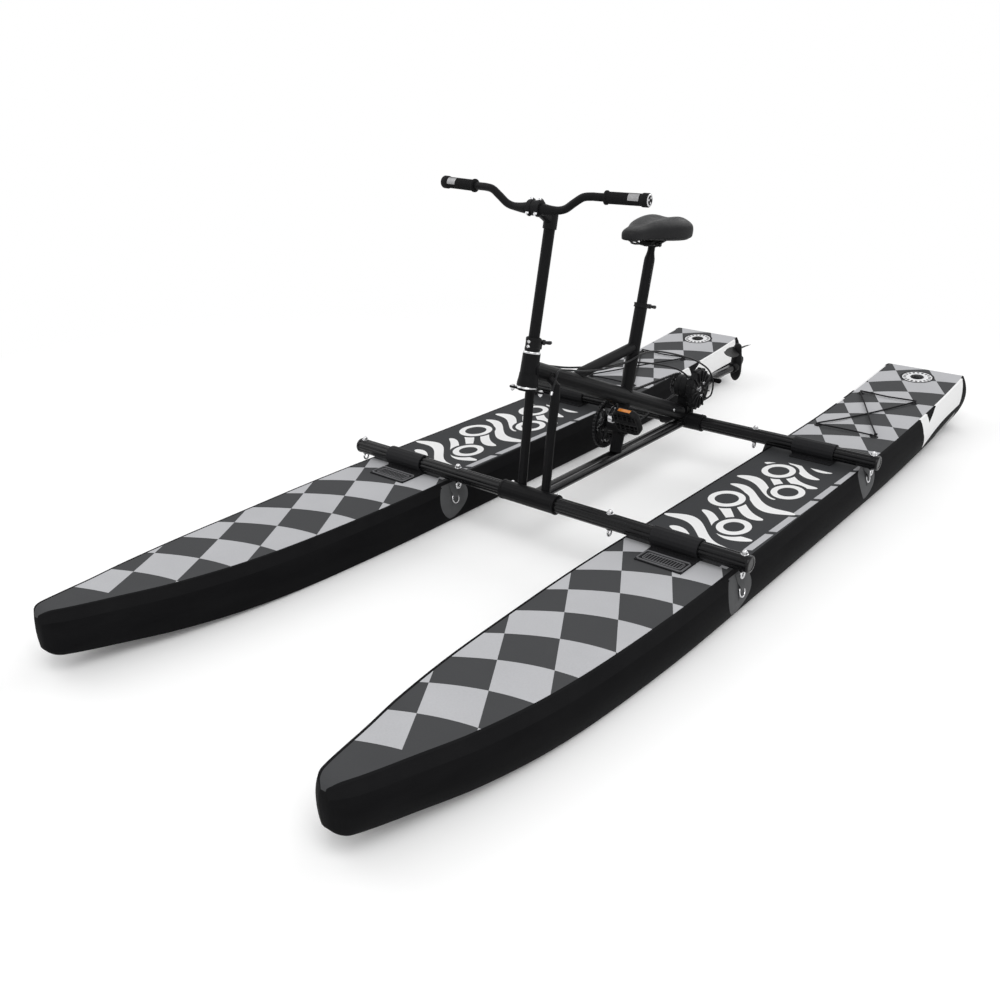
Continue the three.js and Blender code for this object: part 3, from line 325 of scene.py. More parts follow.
def checker_deck(name, centre_x, first_length, first_width, start):
    """Slanted checks whose cross edges bend towards the rails, and a printed ring round the valve."""
    g = Graph(name, DECK_DARK, 0.8, specular_ior_level=0.15)
    along, across = deck_coordinates(g, centre_x)
    cross = along - across * CHECK_SLANT + across * across * CHECK_BEND
    lean = along + across * CHECK_LEAN
    step = ((lean - first_length) / CHECK_LENGTH).floor() + ((cross - first_width) / CHECK_WIDTH).floor()
    color = g.blend((step % 2.0 < 0.5) & (cross > start), DECK_DARK, DECK_LIGHT)
    ring_x, ring_y = across + RING_SHIFT, along - VALVE_Y
    reach = (ring_x * ring_x + ring_y * ring_y).root()
    ticks = (abs(reach - TICKS) < TICK_HALF) & ((ring_x.angle_from(ring_y) * TICK_COUNT).sine() > 0.0)
    color = g.blend(ticks, g.blend(reach < RING_OUTER, color, RING_PALE), RING_TICK)
    return deck_foam(g, g.blend(abs(reach - RING_EDGE) < RING_EDGE_HALF, color, SOFT_BLACK))


def wave_deck(name, centre_x):
    """Dark middle deck with pale wave strokes, four rings and short dashes by its left rail."""
    g = Graph(name, DECK_MIDDLE, 0.8, specular_ior_level=0.15)
    along, across = deck_coordinates(g, centre_x)
    line = (along + across * WAVE_LEAN + (across / WAVE_SWELL_STEP).sine() * WAVE_SWELL) / WAVE_STEP
    row = line.floor()
    middle = (row * 2.3).sine() * WAVE_DRIFT
    reach = (across - middle) / (WAVE_HALF + (row * 1.7).sine() * WAVE_DRIFT)
    taper = (1.0 - reach * reach).at_least(0.0).root()
    stroke = abs(line.fract() - 0.5) < taper * WAVE_THICK
    for ring_x, ring_y, radius in WAVE_RINGS:
        off_x, off_y = across - ring_x, (along - ring_y) * LOOP_STRETCH
        away = (off_x * off_x + off_y * off_y).root()
        stroke = (stroke & (away > radius + LOOP_CLEAR)) | (abs(away - radius) < LOOP_HALF)
    stroke = stroke & (abs(along - WAVE_MIDDLE) < WAVE_REACH)
    slant = ((along - across * CHECK_SLANT) / DASH_STEP).fract()
    dash = (slant < DASH_SHARE) & (abs(across - DASH_X) < DASH_HALF)
    return deck_foam(g, g.blend(stroke, g.blend(dash, DECK_MIDDLE, DECK_LIGHT), PALE_WAVE))


MATS = {
    "frame_paint": powder_coat(),
    "arm": anodised(),
    "saddle_pad": plastic("pad_rubber", SOFT_BLACK, 0.6),
    "stainless": steel(),
    "housing": plastic(),
    "grip": rubber(),
    "saddle_cover": saddle_cover(),
    "crank": anodised("crank_black", SOFT_BLACK),
    "chain_steel": chain_metal(),
    "cord": rubber("braided_cord", SOFT_BLACK),
    "cable": plastic("cable_housing", (0.0175, 0.0175, 0.0187), 0.4),
    "hull": hull_side(),
    "rail": hull_rail(),
    "patch": patch_cloth(),
    "silver_paint": silver_paint(),
    "reflector": reflector(),
    "rim_rubber": plastic("rim_rubber", (0.1375, 0.1375, 0.1438), 0.5),
}
SLOT_OF = {s["node"]: s["material_slot"] for s in frame["record"]["subparts"]}
for node, shown in frame["nodes"].items():
    shown.data.materials.clear()
    shown.data.materials.append(MATS[SLOT_OF[node]])
frame["nodes"]["saddle_rails"].data.materials[0] = MATS["crank"]


# Mesh helpers
class Build:
    """Collects simple solids into one mesh."""

    def __init__(self):
        self.vertices = []
        self.faces = []

    def add(self, vertices, faces):
        base = len(self.vertices)
        self.vertices += [Vector(v) for v in vertices]
        self.faces += [tuple(base + i for i in f) for f in faces]

    def rings(self, rings, closed=False):
        """Skin over rings of points; the ends are capped, or the last ring joins the first."""
        count = len(rings[0])
        vertices = [v for ring in rings for v in ring]
        faces = []
        for r in range(len(rings) if closed else len(rings) - 1):
            a, b = r * count, ((r + 1) % len(rings)) * count
            for i in range(count):
                j = (i + 1) % count
                faces.append((a + i, a + j, b + j, b + i))
        if not closed:
            faces.append(tuple(range(count))[::-1])
            faces.append(tuple(range(len(vertices) - count, len(vertices))))
        self.add(vertices, faces)

    def lathe(self, start, axis, profile, sides=32, hollow=False):
        """Profile is (distance along the axis, radius) pairs; a hollow one closes round a bore."""
        turn = Vector((0, 0, 1)).rotation_difference(Vector(axis).normalized())
        self.rings([[start + turn @ Vector((cos(a) * radius * MM, sin(a) * radius * MM, along * MM))
                     for a in turns(sides)] for along, radius in profile], hollow)

    def tube(self, points, radius, sides=16, closed=False, squash=1.0):
        """Round tube along points, with a frame carried along the curve."""
        rings = []
        normal = None
        count = len(points)
        for i, p in enumerate(points):
            ahead = points[(i + 1) % count] if closed or i + 1 < count else p
            behind = points[i - 1] if closed or i > 0 else p
            tangent = (ahead - behind).normalized()
            if normal is None:
                normal = tangent.orthogonal().normalized()
            normal = (normal - tangent * normal.dot(tangent)).normalized()
            side = tangent.cross(normal)
            r = (radius[i] if isinstance(radius, (list, tuple)) else radius) * MM
            rings.append([p + (normal * cos(a) * squash + side * sin(a)) * r for a in turns(sides)])
        self.rings(rings, closed)

    def box(self, centre, size, turn=None, bevel=1.0):
        """Box with rounded edges."""
        made = bmesh.new()
        bmesh.ops.create_cube(made, size=1.0)
        for v in made.verts:
            v.co = Vector((v.co.x * size[0], v.co.y * size[1], v.co.z * size[2]))
        offset = min(bevel, *(0.45 * s for s in size))
        bmesh.ops.bevel(made, geom=made.edges[:], offset=offset, segments=2, profile=0.5, affect="EDGES")
        made.verts.index_update()
        turn = turn or Quaternion()
        vertices = [centre + turn @ (v.co * MM) for v in made.verts]
        faces = [tuple(v.index for v in f.verts) for f in made.faces]
        made.free()
        self.add(vertices, faces)

    def bolt(self, start, axis, radius, height):
        """Socket-head bolt on its washer."""
        washer = radius + 2.2
        self.lathe(start, axis, [(0, washer), (0.8, washer), (0.9, radius), (height - 0.6, radius),
                                 (height, radius - 0.6), (height, radius * 0.55),
                                 (height * 0.45, radius * 0.5), (height * 0.45, 0.01)], 24)

    def done(self, name, material, body, replaced=(), slot=None, subdivide=0, crease=0.6, marks=()):
        """The finished piece; body is the name of what it is attached to, or a tuple whose names and points
        are not used, which leaves the piece unattached where it is drawn.
        """
        mesh = bpy.data.meshes.new(name)
        mesh.from_pydata([tuple(v) for v in self.vertices], [], self.faces)
        mesh.validate()
        shown = bpy.data.objects.new(name, mesh)
        bpy.context.scene.collection.objects.link(shown)
        for used in material if isinstance(material, list) else [MATS[material]]:
            mesh.materials.append(used)
        bm = bmesh.new()
        bm.from_mesh(mesh)
        bmesh.ops.recalc_face_normals(bm, faces=bm.faces)
        for f in bm.faces:
            f.smooth = True
        for e in bm.edges:
            e.smooth = not e.is_manifold or e.calc_face_angle(0) < crease
        bm.to_mesh(mesh)
        bm.free()
        for polygon, mark in zip(mesh.polygons, marks):
            polygon.material_index = mark
        if subdivide:
            modifier = shown.modifiers.new("smooth", "SUBSURF")
            modifier.levels = modifier.render_levels = subdivide
        if isinstance(body, tuple):
            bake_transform(shown)
        else:
            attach(shown, body)
        if replaced:
            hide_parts(*replaced)
        return shown


def curve_through(points, steps):
    """Smooth line through given points."""
    line = []
    for i in range(len(points) - 1):
        p0, p1 = points[max(i - 1, 0)], points[i]
        p2, p3 = points[i + 1], points[min(i + 2, len(points) - 1)]
        for k in range(steps):
            t = k / steps
            line.append(0.5 * ((2 * p1) + (p2 - p0) * t + (2 * p0 - 5 * p1 + 4 * p2 - p3) * t * t
                        + (3 * p1 - p0 - 3 * p2 + p3) * t ** 3))
    line.append(points[-1])
    return line


# Hulls
HULL_X = 525
BOW, STERN = -1730, 1765
DECK, BULGE, PAD_EDGE = 150, 20, 9
ROCKER_BOW, ROCKER_STERN = -900, 700
DECK_RISE, KEEL_RISE = (40, 60), (62, 58)
END_ROUND, STERN_DECK_ROUND = 34, 12
MIDDLE_FROM, MIDDLE_TO, STATION_GAP = -385, 640, 20
BOW_PRINT, STERN_PRINT = (-1168.6, -1286.6, -1581.6), (1756.5, 1616.5, -9999.0)
WIDTHS = [(-1730, 9), (-1719, 27), (-1692, 40), (-1630, 57), (-1545, 77), (-1410, 111), (-1200, 145),
        (-950, 165), (-620, 178), (-200, 178), (300, 176), (800, 174), (1150, 171), (1500, 170),
        (1670, 168), (1732, 166), (1756, 161), (1765, 150)]


def smooth_table(table, y):
    """Smooth curve through a table of places and widths."""
    if y <= table[0][0]:
        return table[0][1]
    for k in range(len(table) - 1):
        (ya, a), (yb, b) = table[k], table[k + 1]
        if y <= yb:
            before = table[max(k - 1, 0)]
            after = table[min(k + 2, len(table) - 1)]
            slope_a = (b - before[1]) / max(yb - before[0], 1)
            slope_b = (after[1] - a) / max(after[0] - ya, 1)
            t, span = (y - ya) / (yb - ya), yb - ya
            return ((2 * t ** 3 - 3 * t * t + 1) * a + (t ** 3 - 2 * t * t + t) * span * slope_a
                    + (-2 * t ** 3 + 3 * t * t) * b + (t ** 3 - t * t) * span * slope_b)
    return table[-1][1]


def rocker(y, bow, stern):
    """Rise of a hull's ends over its flat middle."""
    if y < ROCKER_BOW:
        return bow * ((y - ROCKER_BOW) / (BOW - ROCKER_BOW)) ** 2
    return stern * ((y - ROCKER_STERN) / (STERN - ROCKER_STERN)) ** 2 if y > ROCKER_STERN else 0


def end_round(y, stern_reach=END_ROUND):
    """Drop of an edge near the ends of a hull."""
    reach = END_ROUND if y < 0 else stern_reach
    near = min(y - BOW, STERN - y)
    if near >= reach:
        return 0
    return reach * 0.62 * (1 - sqrt(max(0, 1 - ((reach - near) / reach) ** 2)))


def deck_at(y):
    return DECK + rocker(y, *DECK_RISE) - end_round(y, STERN_DECK_ROUND)


def keel_at(y):
    return rocker(y, *KEEL_RISE) + end_round(y)


def hull_section(y):
    """Left half from the deck's middle to the keel's middle, as (x, z)."""
    half = smooth_table(WIDTHS, y)
    top, low = deck_at(y), keel_at(y)
    near = min(y - BOW, STERN - y)
    bulge = BULGE * min(1.0, (0.35 if y < 0 else 0.85) + near / 60)
    edge = min(PAD_EDGE, half * 0.3)
    points = [(0, top), (half * 0.35, top), (half * 0.7, top), (half - edge, top), (half - 2.5, top),
            (half - 0.6, top - 1.2), (half - 0.2, top - 4)]
    span = top - 4 - low - 2
    for k in range(1, 15):
        t = k / 15
        points.append((half + bulge * sin(pi * t) ** 0.85, top - 4 - span * t))
    points += [(half - 0.5, low + 2), (half - 6, low), (half * 0.6, low), (0, low)]
    return points


STATIONS = ([BOW + v for v in (0, 2, 5, 9, 14, 20, 27, 34, 44, 58, 76, 100, 130, 165, 205, 250)]
            + [BOW + 300 + 50 * k for k in range(58)]
            + [STERN - v for v in (290, 240, 195, 150, 110, 80, 58, 42, 32, 24, 17, 11, 6, 3, 1, 0)])
STATIONS = sorted({MIDDLE_FROM, MIDDLE_TO} | {
    y for y in STATIONS if min(abs(y - MIDDLE_FROM), abs(y - MIDDLE_TO)) > STATION_GAP})


def hull(name, side):
    """Hull with its rails, flanks and three printed deck panels."""
    cx = side * HULL_X
    rings = []
    for y in STATIONS:
        section = hull_section(y)
        ring = [at(cx + x, y, z) for x, z in section]
        rings.append(ring + [at(cx - x, y, z) for x, z in section[-2:0:-1]])
    made = Build()
    made.rings(rings)
    mats = [MATS["hull"], MATS["rail"], checker_deck(f"deck_bow_{name}", cx, *BOW_PRINT),
            wave_deck(f"deck_middle_{name}", cx), checker_deck(f"deck_stern_{name}", cx, *STERN_PRINT)]
    count = len(rings[0])
    marks = []
    for y in STATIONS[:-1]:
        panel = 2 + (y >= MIDDLE_FROM) + (y >= MIDDLE_TO)
        for i in range(count):
            from_middle = min(i, count - 1 - i)
            marks.append(panel if from_middle < 3 else 1 if from_middle < 9 else 0)
    made.done(f"hull_{name}", mats, "frame", (f"pontoon_{name}",), slot="hull", marks=marks + [0, 0])


for name, side in SIDES:
    hull(name, side)

# Saddle
SADDLE = [(108, 9, 929, 918), (110, 15, 935, 914), (115, 21, 940, 911), (126, 28, 943, 909),
        (143, 34, 946, 907.5), (163, 39, 948, 906), (184, 45, 950, 905), (208, 56, 953, 902.5),
        (232, 69, 956, 899.5), (258, 81, 957, 896), (284, 91, 958, 893.5), (310, 99, 959, 891.5),
        (335, 103.5, 960, 890), (354, 104, 959, 890), (368, 101, 957, 890.5), (379, 94, 953, 892),
        (386, 84, 948, 895), (390, 70, 943, 899), (392, 52, 937, 905)]
saddle = Build()
rings = []
for y, half, top, low in SADDLE:
    ring = []
    for angle in turns(36):
        across, up = cos(angle), sin(angle)
        middle = low + (top - low) * 0.45
        x = half * squarish(across, 0.62) * (1 + 0.07 * min(0, up))
        lobes = 6 * exp(-((abs(x) - half * 0.5) / (half * 0.3)) ** 2) * clamp((y - 190) / 80)
        groove = 6 * exp(-(x / (half * 0.22)) ** 2) * clamp((y - 140) / 60) * clamp((390 - y) / 24)
        if up >= 0:
            z = middle + (top - middle) * up ** 0.62 + up * (lobes + 2 * (1 - abs(across)) - groove)
        else:
            z = middle + (low - middle) * (-up) ** 0.32
        ring.append(at(x, y, z))
    rings.append(ring)
saddle.rings(rings)
cushion = saddle.done("saddle_cushion", "saddle_cover", "seat", ("saddle",), subdivide=1, crease=1.2)


# Deck fittings
def unit(v):
    return Vector(v).normalized()


def face_turn(normal, along):
    """Turn that takes Z to the normal and X towards the given direction."""
    z = unit(normal)
    x = (Vector(along) - z * z.dot(Vector(along))).normalized()
    return Matrix((x, z.cross(x), z)).transposed().to_quaternion()


def ring_points(centre, normal, along, radius, steps):
    turn = face_turn(normal, along)
    return [centre + turn @ Vector((cos(a), sin(a), 0)) * radius * MM for a in turns(steps)]


def deck_normal(y):
    return unit((0, -(deck_at(y + 1) - deck_at(y - 1)) / 2, 1))


def hull_side_point(cx, side, y, z):
    """Point on the hull's flank at a height."""
    section = hull_section(y)[5:-3]
    for (xa, za), (xb, zb) in zip(section, section[1:]):
        if za >= z >= zb and za > zb:
            return at(cx + side * mix(xa, xb, (za - z) / (za - zb)), y, z)
    return at(cx + side * section[-1][0], y, z)


CORD_X, CORD_SHIFT, CORD_FRONT, CORD_REAR, CORD_CROSS = 108, -20, 925, 1358, 106
ANCHORS = [(CORD_SHIFT + dx, y) for y in (CORD_FRONT, CORD_REAR) for dx in (CORD_X, -CORD_X)]
for name, side in SIDES:
    cx = side * HULL_X
    fittings = Build()
    top = at(cx, VALVE_Y, deck_at(VALVE_Y) - 0.4)
    tilt = deck_normal(VALVE_Y)
    fittings.lathe(top, tilt, [(0, 27), (1.6, 27), (2.6, 26), (2.6, 23.4), (1.4, 22.8), (1.4, 20.5),
            (4.2, 19.8), (5.2, 18.4), (5.2, 0.01)], 48)
    for angle in turns(6):
        arm = Vector((cos(angle), sin(angle), 0))
        fittings.box(top + arm * 0.010 + tilt * 0.0052, (14, 2.6, 2.4), face_turn(tilt, arm))
    fittings.lathe(top + tilt * 0.005, tilt, [(0, 5), (2, 5), (2.6, 4.2), (2.6, 0.01)], 24)
    fittings.done(f"valve_{name}", "housing", "frame")

    anchors = Build()
    for dx, y in ANCHORS:
        base = at(cx + dx, y, deck_at(y) - 0.4)
        n = deck_normal(y)
        anchors.lathe(base, n, [(0, 16), (1.0, 15.6), (1.6, 14.6), (1.6, 0.01)], 40)
        anchors.tube([base + n * h * MM + Vector((off * MM, 0, 0)) for off, h in ((-9, 1.4), (-7.5, 4.4),
                (-4, 6.2), (0, 6.8), (4, 6.2), (7.5, 4.4), (9, 1.4))], 2.4, 10, squash=0.5)
    anchors.done(f"cord_anchors_{name}", "saddle_pad", "frame")


def sheet_faces(rows, columns, round_tube=False):
    """Faces of a grid of points; in a tube of rows, the last row joins the first."""
    return [(r * columns + k, r * columns + k + 1, (r + 1) % rows * columns + k + 1,
            (r + 1) % rows * columns + k)
            for r in range(rows if round_tube else rows - 1) for k in range(columns - 1)]


# Teardrop patches with webbing and a steel ring on the flanks, under each arm
RING_RISE = 16
PATCHES = [(-372, 80), (600, 108)]
PATCH_LOW, PATCH_HIGH, PATCH_HALF, PATCH_ROWS, PATCH_COLUMNS = 66, 62, 70, 15, 13
for name, side in SIDES:
    cx = side * HULL_X
    cloth, rings = Build(), Build()
    for flank in (1, -1):
        for py, pz in PATCHES:
            rows = []
            for i in range(PATCH_ROWS):
                t = i / (PATCH_ROWS - 1)
                z = mix(pz - PATCH_LOW, pz + PATCH_HIGH, t)
                width = PATCH_HALF * sin(pi * (0.03 + 0.77 * t)) ** 0.75
                row = []
                for k in range(PATCH_COLUMNS):
                    u = (k / (PATCH_COLUMNS - 1) - 0.5) * 2
                    p = hull_side_point(cx, flank, py + u * max(width, 1), z)
                    rim = 1 - max(abs(u) ** 6, abs(2 * t - 1) ** 10)
                    row.append(p + Vector((flank * (0.0002 + 0.0011 * rim), 0, 0)))
                rows.append(row)
            cloth.add([p for row in rows for p in row], sheet_faces(PATCH_ROWS, PATCH_COLUMNS))
            middle = hull_side_point(cx, flank, py, pz + RING_RISE)
            out = Vector((flank, 0, 0))
            band = [hull_side_point(cx, flank, py, pz + RING_RISE + h)
                    + out * 0.0018 for h in (-30, -20, -10)]
            loop = [middle + out * o * MM + Vector((0, 0, h * MM))
                    for o, h in ((3, -6), (7, 0), (8, 6), (6, 11), (2.4, 15))]
            tail = [hull_side_point(cx, flank, py, pz + RING_RISE + h) + out * 0.0018 for h in (24, 34, 44)]
            strap = band + loop + tail
            rows = [[p + Vector((0, w * MM, 0)) for p in strap] for w in (-12.5, 12.5)]
            rows += [[p + out * 0.0014 for p in row] for row in reversed(rows)]
            count = len(strap)
            ends = [(0, count, 2 * count, 3 * count),
                    (count - 1, 2 * count - 1, 3 * count - 1, 4 * count - 1)]
            cloth.add([p for row in rows for p in row], sheet_faces(4, count, round_tube=True) + ends)
            centre = middle + out * 0.0065 + Vector((0, 0, -0.006))
            line = ring_points(centre, (flank, 0, 0.25), (0, 1, 0), 15, 28)
            rings.tube(line, 2.1, 10, closed=True)
    cloth.done(f"ring_patches_{name}", "patch", "frame", slot="hull", crease=0.9)
    rings.done(f"patch_rings_{name}", "stainless", "frame")

# Cross arms
ARM_Z = 186
EYE_INNER, EYE_OUTER = 297, 730
FRONT_Y, REAR_Y = -385, 580
TUBES = [("front", FRONT_Y, 106), ("rear", REAR_Y, 86)]
ARM_R, ARM_CUTS, ARM_CHAMFER = 25, (15, 16, 60, 200, 290, 304, 450, 600, 722, 738, 745.5, 746), 0.8


def fluted(radius, depth, count=10, steps=12):
    """Angles and radii of a tube's outline with grooves along it."""
    points = []
    for i in range(count * steps):
        phase = (i % steps) / steps
        notch = exp(-((min(phase, 1 - phase) * steps) / 2.3) ** 2)
        points.append((2 * pi * (i / (count * steps)) + pi / count, radius - depth * notch))
    return points


for end, y, _ in TUBES:
    for name, side in SIDES:
        arm = Build()
        rings = []
        outline = fluted(ARM_R, 2.6)
        for x in ARM_CUTS:
            inset = ARM_CHAMFER if x in (ARM_CUTS[0], ARM_CUTS[-1]) else 0
            rings.append([at(side * x, y + cos(a) * (r - inset), ARM_Z + sin(a) * (r - inset))
                    for a, r in outline])
        arm.rings(rings)
        arm.done(f"arm_tube_{end}_{name}", "arm", "frame", (f"cross_arm_{end}_{name}",), crease=0.8)
        cap = Build()
        cap.lathe(at(side * 744, y, ARM_Z), (side, 0, 0), [(0, 24.9), (0.4, 25.5), (5.4, 25.5),
                (7.6, 24.4), (8.8, 22.2), (8.8, 17.5), (7.6, 16.8), (7.6, 0.01)], 48)
        cap.done(f"arm_cap_{end}_{name}", "arm", "frame", slot="housing")

        for place, ex in (("inner", EYE_INNER), ("outer", EYE_OUTER)):
            bolt = Build()
            x = side * ex
            top = ARM_Z + ARM_R
            bolt.lathe(at(x, y, top - 0.4), (0, 0, 1), [(0, 11), (1.6, 11), (2.0, 10.4), (2.0, 0.01)], 32)
            hexagon = [[at(x + cos(a) * r, y + sin(a) * r, z) for a in turns(6, 0.2)]
                    for z, r in ((top + 1.6, 8.2), (top + 2.2, 9), (top + 7.6, 9), (top + 8.3, 8.0))]
            bolt.rings(hexagon)
            dome = [(0, 6.6), (1.5, 6.4), (3.2, 5.4), (4.4, 3.4), (4.8, 0.01)]
            bolt.lathe(at(x, y, top + 8.1), (0, 0, 1), dome, 24)
            bolt.lathe(at(x, y, top - 54.2), (0, 0, 1), [(0, 3), (1, 4), (7, 4), (7, 0.01)], 16)
            bolt.lathe(at(x, y, ARM_Z - 26.6), (0, 0, 1), [(0, 9.4), (0.4, 10), (1.6, 10), (2, 9.4)], 32)
            bolt.tube(ring_points(at(x, y, 149), (1, 0, 0), (0, 1, 0), 10, 32), 3.3, 12, closed=True)
            bolt.done(f"eye_{end}_{name}_{place}", "stainless", "frame",
                    (f"eye_bolt_{end}_{name}_{place}",))

# Framed rubber pads on the deck before the front arms
FLAP_FRONT, FLAP_BACK, FLAP_TOP, FLAP_HALF = FRONT_Y - 108, FRONT_Y - 40, DECK + 4.2, 75
for name, side in SIDES:
    frames = Build()
    for inset, thick in ((4, 2.6), (15, 1.8)):
        x0, x1 = (side * HULL_X + way * (FLAP_HALF - inset) for way in (-1, 1))
        loop = [at(x, y, FLAP_TOP + thick * 0.5) for x, y in ((x0, FLAP_FRONT + inset),
                (x1, FLAP_FRONT + inset), (x1, FLAP_BACK - inset), (x0, FLAP_BACK - inset))]
        rounded = []
        for k in range(4):
            p, q = loop[k], loop[(k + 1) % 4]
            step = (q - p).normalized() * 0.005
            rounded += [p + step, p.lerp(q, 0.5), q - step]
        frames.tube(rounded, thick, 10, closed=True)
    for k in range(13):
        x = side * HULL_X - 54 + 9 * k
        frames.box(at(x, (FLAP_FRONT + FLAP_BACK) / 2, FLAP_TOP + 0.6), (2.4, 36, 1.6), bevel=0.5)
    frames.done(f"pad_frames_{name}", "rim_rubber", "frame", slot="saddle_pad", crease=0.9)


# Weld beads
def weld_line(start, toward, radius, main, steps=56):
    """Where a branch tube meets a main tube of a known point, axis and radius, found ray by ray."""
    point, axis, main_radius = main
    d, e = unit(toward), unit(axis)
    u = d.orthogonal().normalized()
    v = d.cross(u)
    across = d - e * d.dot(e)
    line = []
    for a in turns(steps):
        p = start + (u * cos(a) + v * sin(a)) * radius
        off = (p - point) - e * (p - point).dot(e)
        qa, qb, qc = across.dot(across), 2 * off.dot(across), off.dot(off) - main_radius ** 2
        t = (-qb - sqrt(max(0.0, qb * qb - 4 * qa * qc))) / (2 * qa)
        line.append(at(*(p + d * t)))
    return line


def weld(build, start, toward, radius, main, size=2.4):
    points = weld_line(start, toward, radius, main)
    radii = [size * (1 + 0.14 * sin(k * 2.9)) for k in range(len(points))]
    build.tube(points, radii, 8, closed=True)


HEAD_TILT = radians(12.5)
BEAM_R, SEAT_R, STAY_R, LEG_R, RAIL_R, SOCKET_R = 29, 21.5, 18, 14.8, 13.4, 31
BEAM_A, BEAM_B = Vector((0, -388, 598)), Vector((0, 536, 226))
BEAM_DIR = unit(BEAM_B - BEAM_A)
STEER, STEER_UP = Vector((0, -395, 600)), unit((0, sin(HEAD_TILT), cos(HEAD_TILT)))
SEAT_TOP, SEAT_DIR = Vector((0, 228, 686)), unit((0, 122, 493))
BB_Y, BB_Z = 120, 283
HEAD, BEAM, SEAT = (STEER, STEER_UP, 27.6), (BEAM_A, BEAM_DIR, BEAM_R), (SEAT_TOP, SEAT_DIR, SEAT_R)
FRONT, REAR = ((Vector((0, y, ARM_Z)), (1, 0, 0), SOCKET_R) for y in (FRONT_Y, REAR_Y))
SHELL = (Vector((0, BB_Y, BB_Z)), (1, 0, 0), 24)
beads = Build()
weld(beads, BEAM_A + BEAM_DIR * 120, -BEAM_DIR, BEAM_R, HEAD, 3.0)
weld(beads, BEAM_B - BEAM_DIR * 90, BEAM_DIR, BEAM_R, REAR, 2.8)
weld(beads, Vector((0, -120, 527)), (0, -56, -21), STAY_R, BEAM)
weld(beads, Vector((0, 60, 539)), (0, 310, 21), STAY_R, SEAT)
weld(beads, SEAT_TOP - SEAT_DIR * 180, -SEAT_DIR, SEAT_R, BEAM)
weld(beads, SEAT_TOP - SEAT_DIR * 395, SEAT_DIR, SEAT_R, BEAM)
for sign in (1, -1):
    weld(beads, Vector((0, 128, 283)) + SEAT_DIR * sign * 45, -SEAT_DIR * sign, SEAT_R, SHELL)
    weld(beads, Vector((sign * 46, -345, 290)), (0, -21, -175), LEG_R, FRONT)
    weld(beads, Vector((sign * 60, -318, 562)), (-sign, 0, 0), LEG_R, BEAM)
    weld(beads, Vector((sign * 13.8, -300, 179.8)), (0, -1, 0), RAIL_R, FRONT)
    weld(beads, Vector((sign * 13.8, 500, 179.8)), (0, 1, 0), RAIL_R, REAR)
beads.done("weld_beads", "frame_paint", "frame", crease=2.0)

# Socket rims and pinch bolts
trim, screws = Build(), Build()
for _, y, half in TUBES:
    for side in (1, -1):
        trim.lathe(at(side * (half - 9), y, ARM_Z), (side, 0, 0),
                [(0, 31.0), (0.6, 31.8), (8.4, 31.8), (9.2, 31), (9.2, 25.7), (7, 25.7)], 48)
        screws.bolt(at(side * (half - 18), y + 24.4, ARM_Z + 18.4), (0, 0.8, 0.6), 4.6, 6)
trim.done("socket_rims", "frame_paint", "frame")
screws.done("socket_screws", "stainless", "frame")


# Headset, stem collar and steering plate
def on_steer(s):
    return at(*(STEER + STEER_UP * s))


low_cup = Build()
low_cup.lathe(on_steer(-57.3), STEER_UP, [(0, 21.4), (0, 29), (0.8, 30.4), (2.4, 31), (4.2, 30.4),
        (5.2, 31), (6.2, 30.6), (7, 29), (7, 21.4)], 56, hollow=True)
head_flare = Build()
head_flare.lathe(on_steer(-50), STEER_UP, [(0, 28.6), (0, 31.6), (1, 32.4), (10, 32.2), (18, 31),
        (28, 29.4), (38, 28.9), (38, 28.6)], 56, hollow=True)
head_flare.done("head_flare", "frame_paint", "frame")
low_cup.done("head_ring_lower", "stainless", "frame", ("headset_lower",))
high_cup = Build()
high_cup.lathe(on_steer(47.3), STEER_UP, [(0, 21.4), (0, 26), (0.8, 27), (3.4, 27), (4.2, 25.8),
        (5.4, 25.4), (6.6, 24.6), (7, 23.8), (7, 21.4)], 56, hollow=True)
high_cup.done("head_ring_upper", "stainless", "frame", ("headset_upper",))

COLLAR_MIDDLE, STEER_CABLE_X = 75, 52
collar = Build()
collar.lathe(on_steer(56), STEER_UP, [(0, 20.6), (0, 22.8), (0.8, 23.6), (9, 23.6), (10, 22.8), (28, 22.8),
        (29, 23.6), (37.2, 23.6), (38, 22.8), (38, 20.6)], 56, hollow=True)
turn = Quaternion((1, 0, 0), -HEAD_TILT)
for sign in (1, -1):
    ear = on_steer(COLLAR_MIDDLE) + turn @ Vector((sign * 5.4, 28.9, 0)) * MM
    collar.box(ear, (7.0, 15, 29), turn, bevel=2.4)
collar.done("stem_clamp", "housing", "steering", ("stem_collar",))
head_bolts = Build()
for h in (-9, 9):
    face = on_steer(COLLAR_MIDDLE + h) + turn @ Vector((-8.8, 28.5, 0)) * MM
    head_bolts.bolt(face, (-1, 0, 0), 4, 4)
for h in (-8, 8):
    head_bolts.bolt(on_steer(COLLAR_MIDDLE + h) + turn @ Vector((0, -22.2, 0)) * MM,
            turn @ Vector((0, -1, 0)), 3.6, 3.4)
for sign in (1, -1):
    tip = on_steer(-63.8) + Vector((sign * STEER_CABLE_X * MM, 0, 0))
    head_bolts.lathe(tip, -STEER_UP, [(0, 8.2), (1, 8.2), (1, 6.4), (5.5, 6.4), (6.5, 5.4), (6.5, 3.4),
            (9, 3.2), (9.6, 2.4), (9.6, 0.01)], 6)
    tip = on_steer(-57.4) + Vector((sign * STEER_CABLE_X * MM, 0, 0))
    head_bolts.lathe(tip, STEER_UP, [(0, 7.4), (1, 7.4), (1, 5.4), (4, 5.2), (4.6, 4.2), (4.6, 0.01)], 24)
head_bolts.done("steering_bolts", "stainless", "steering")


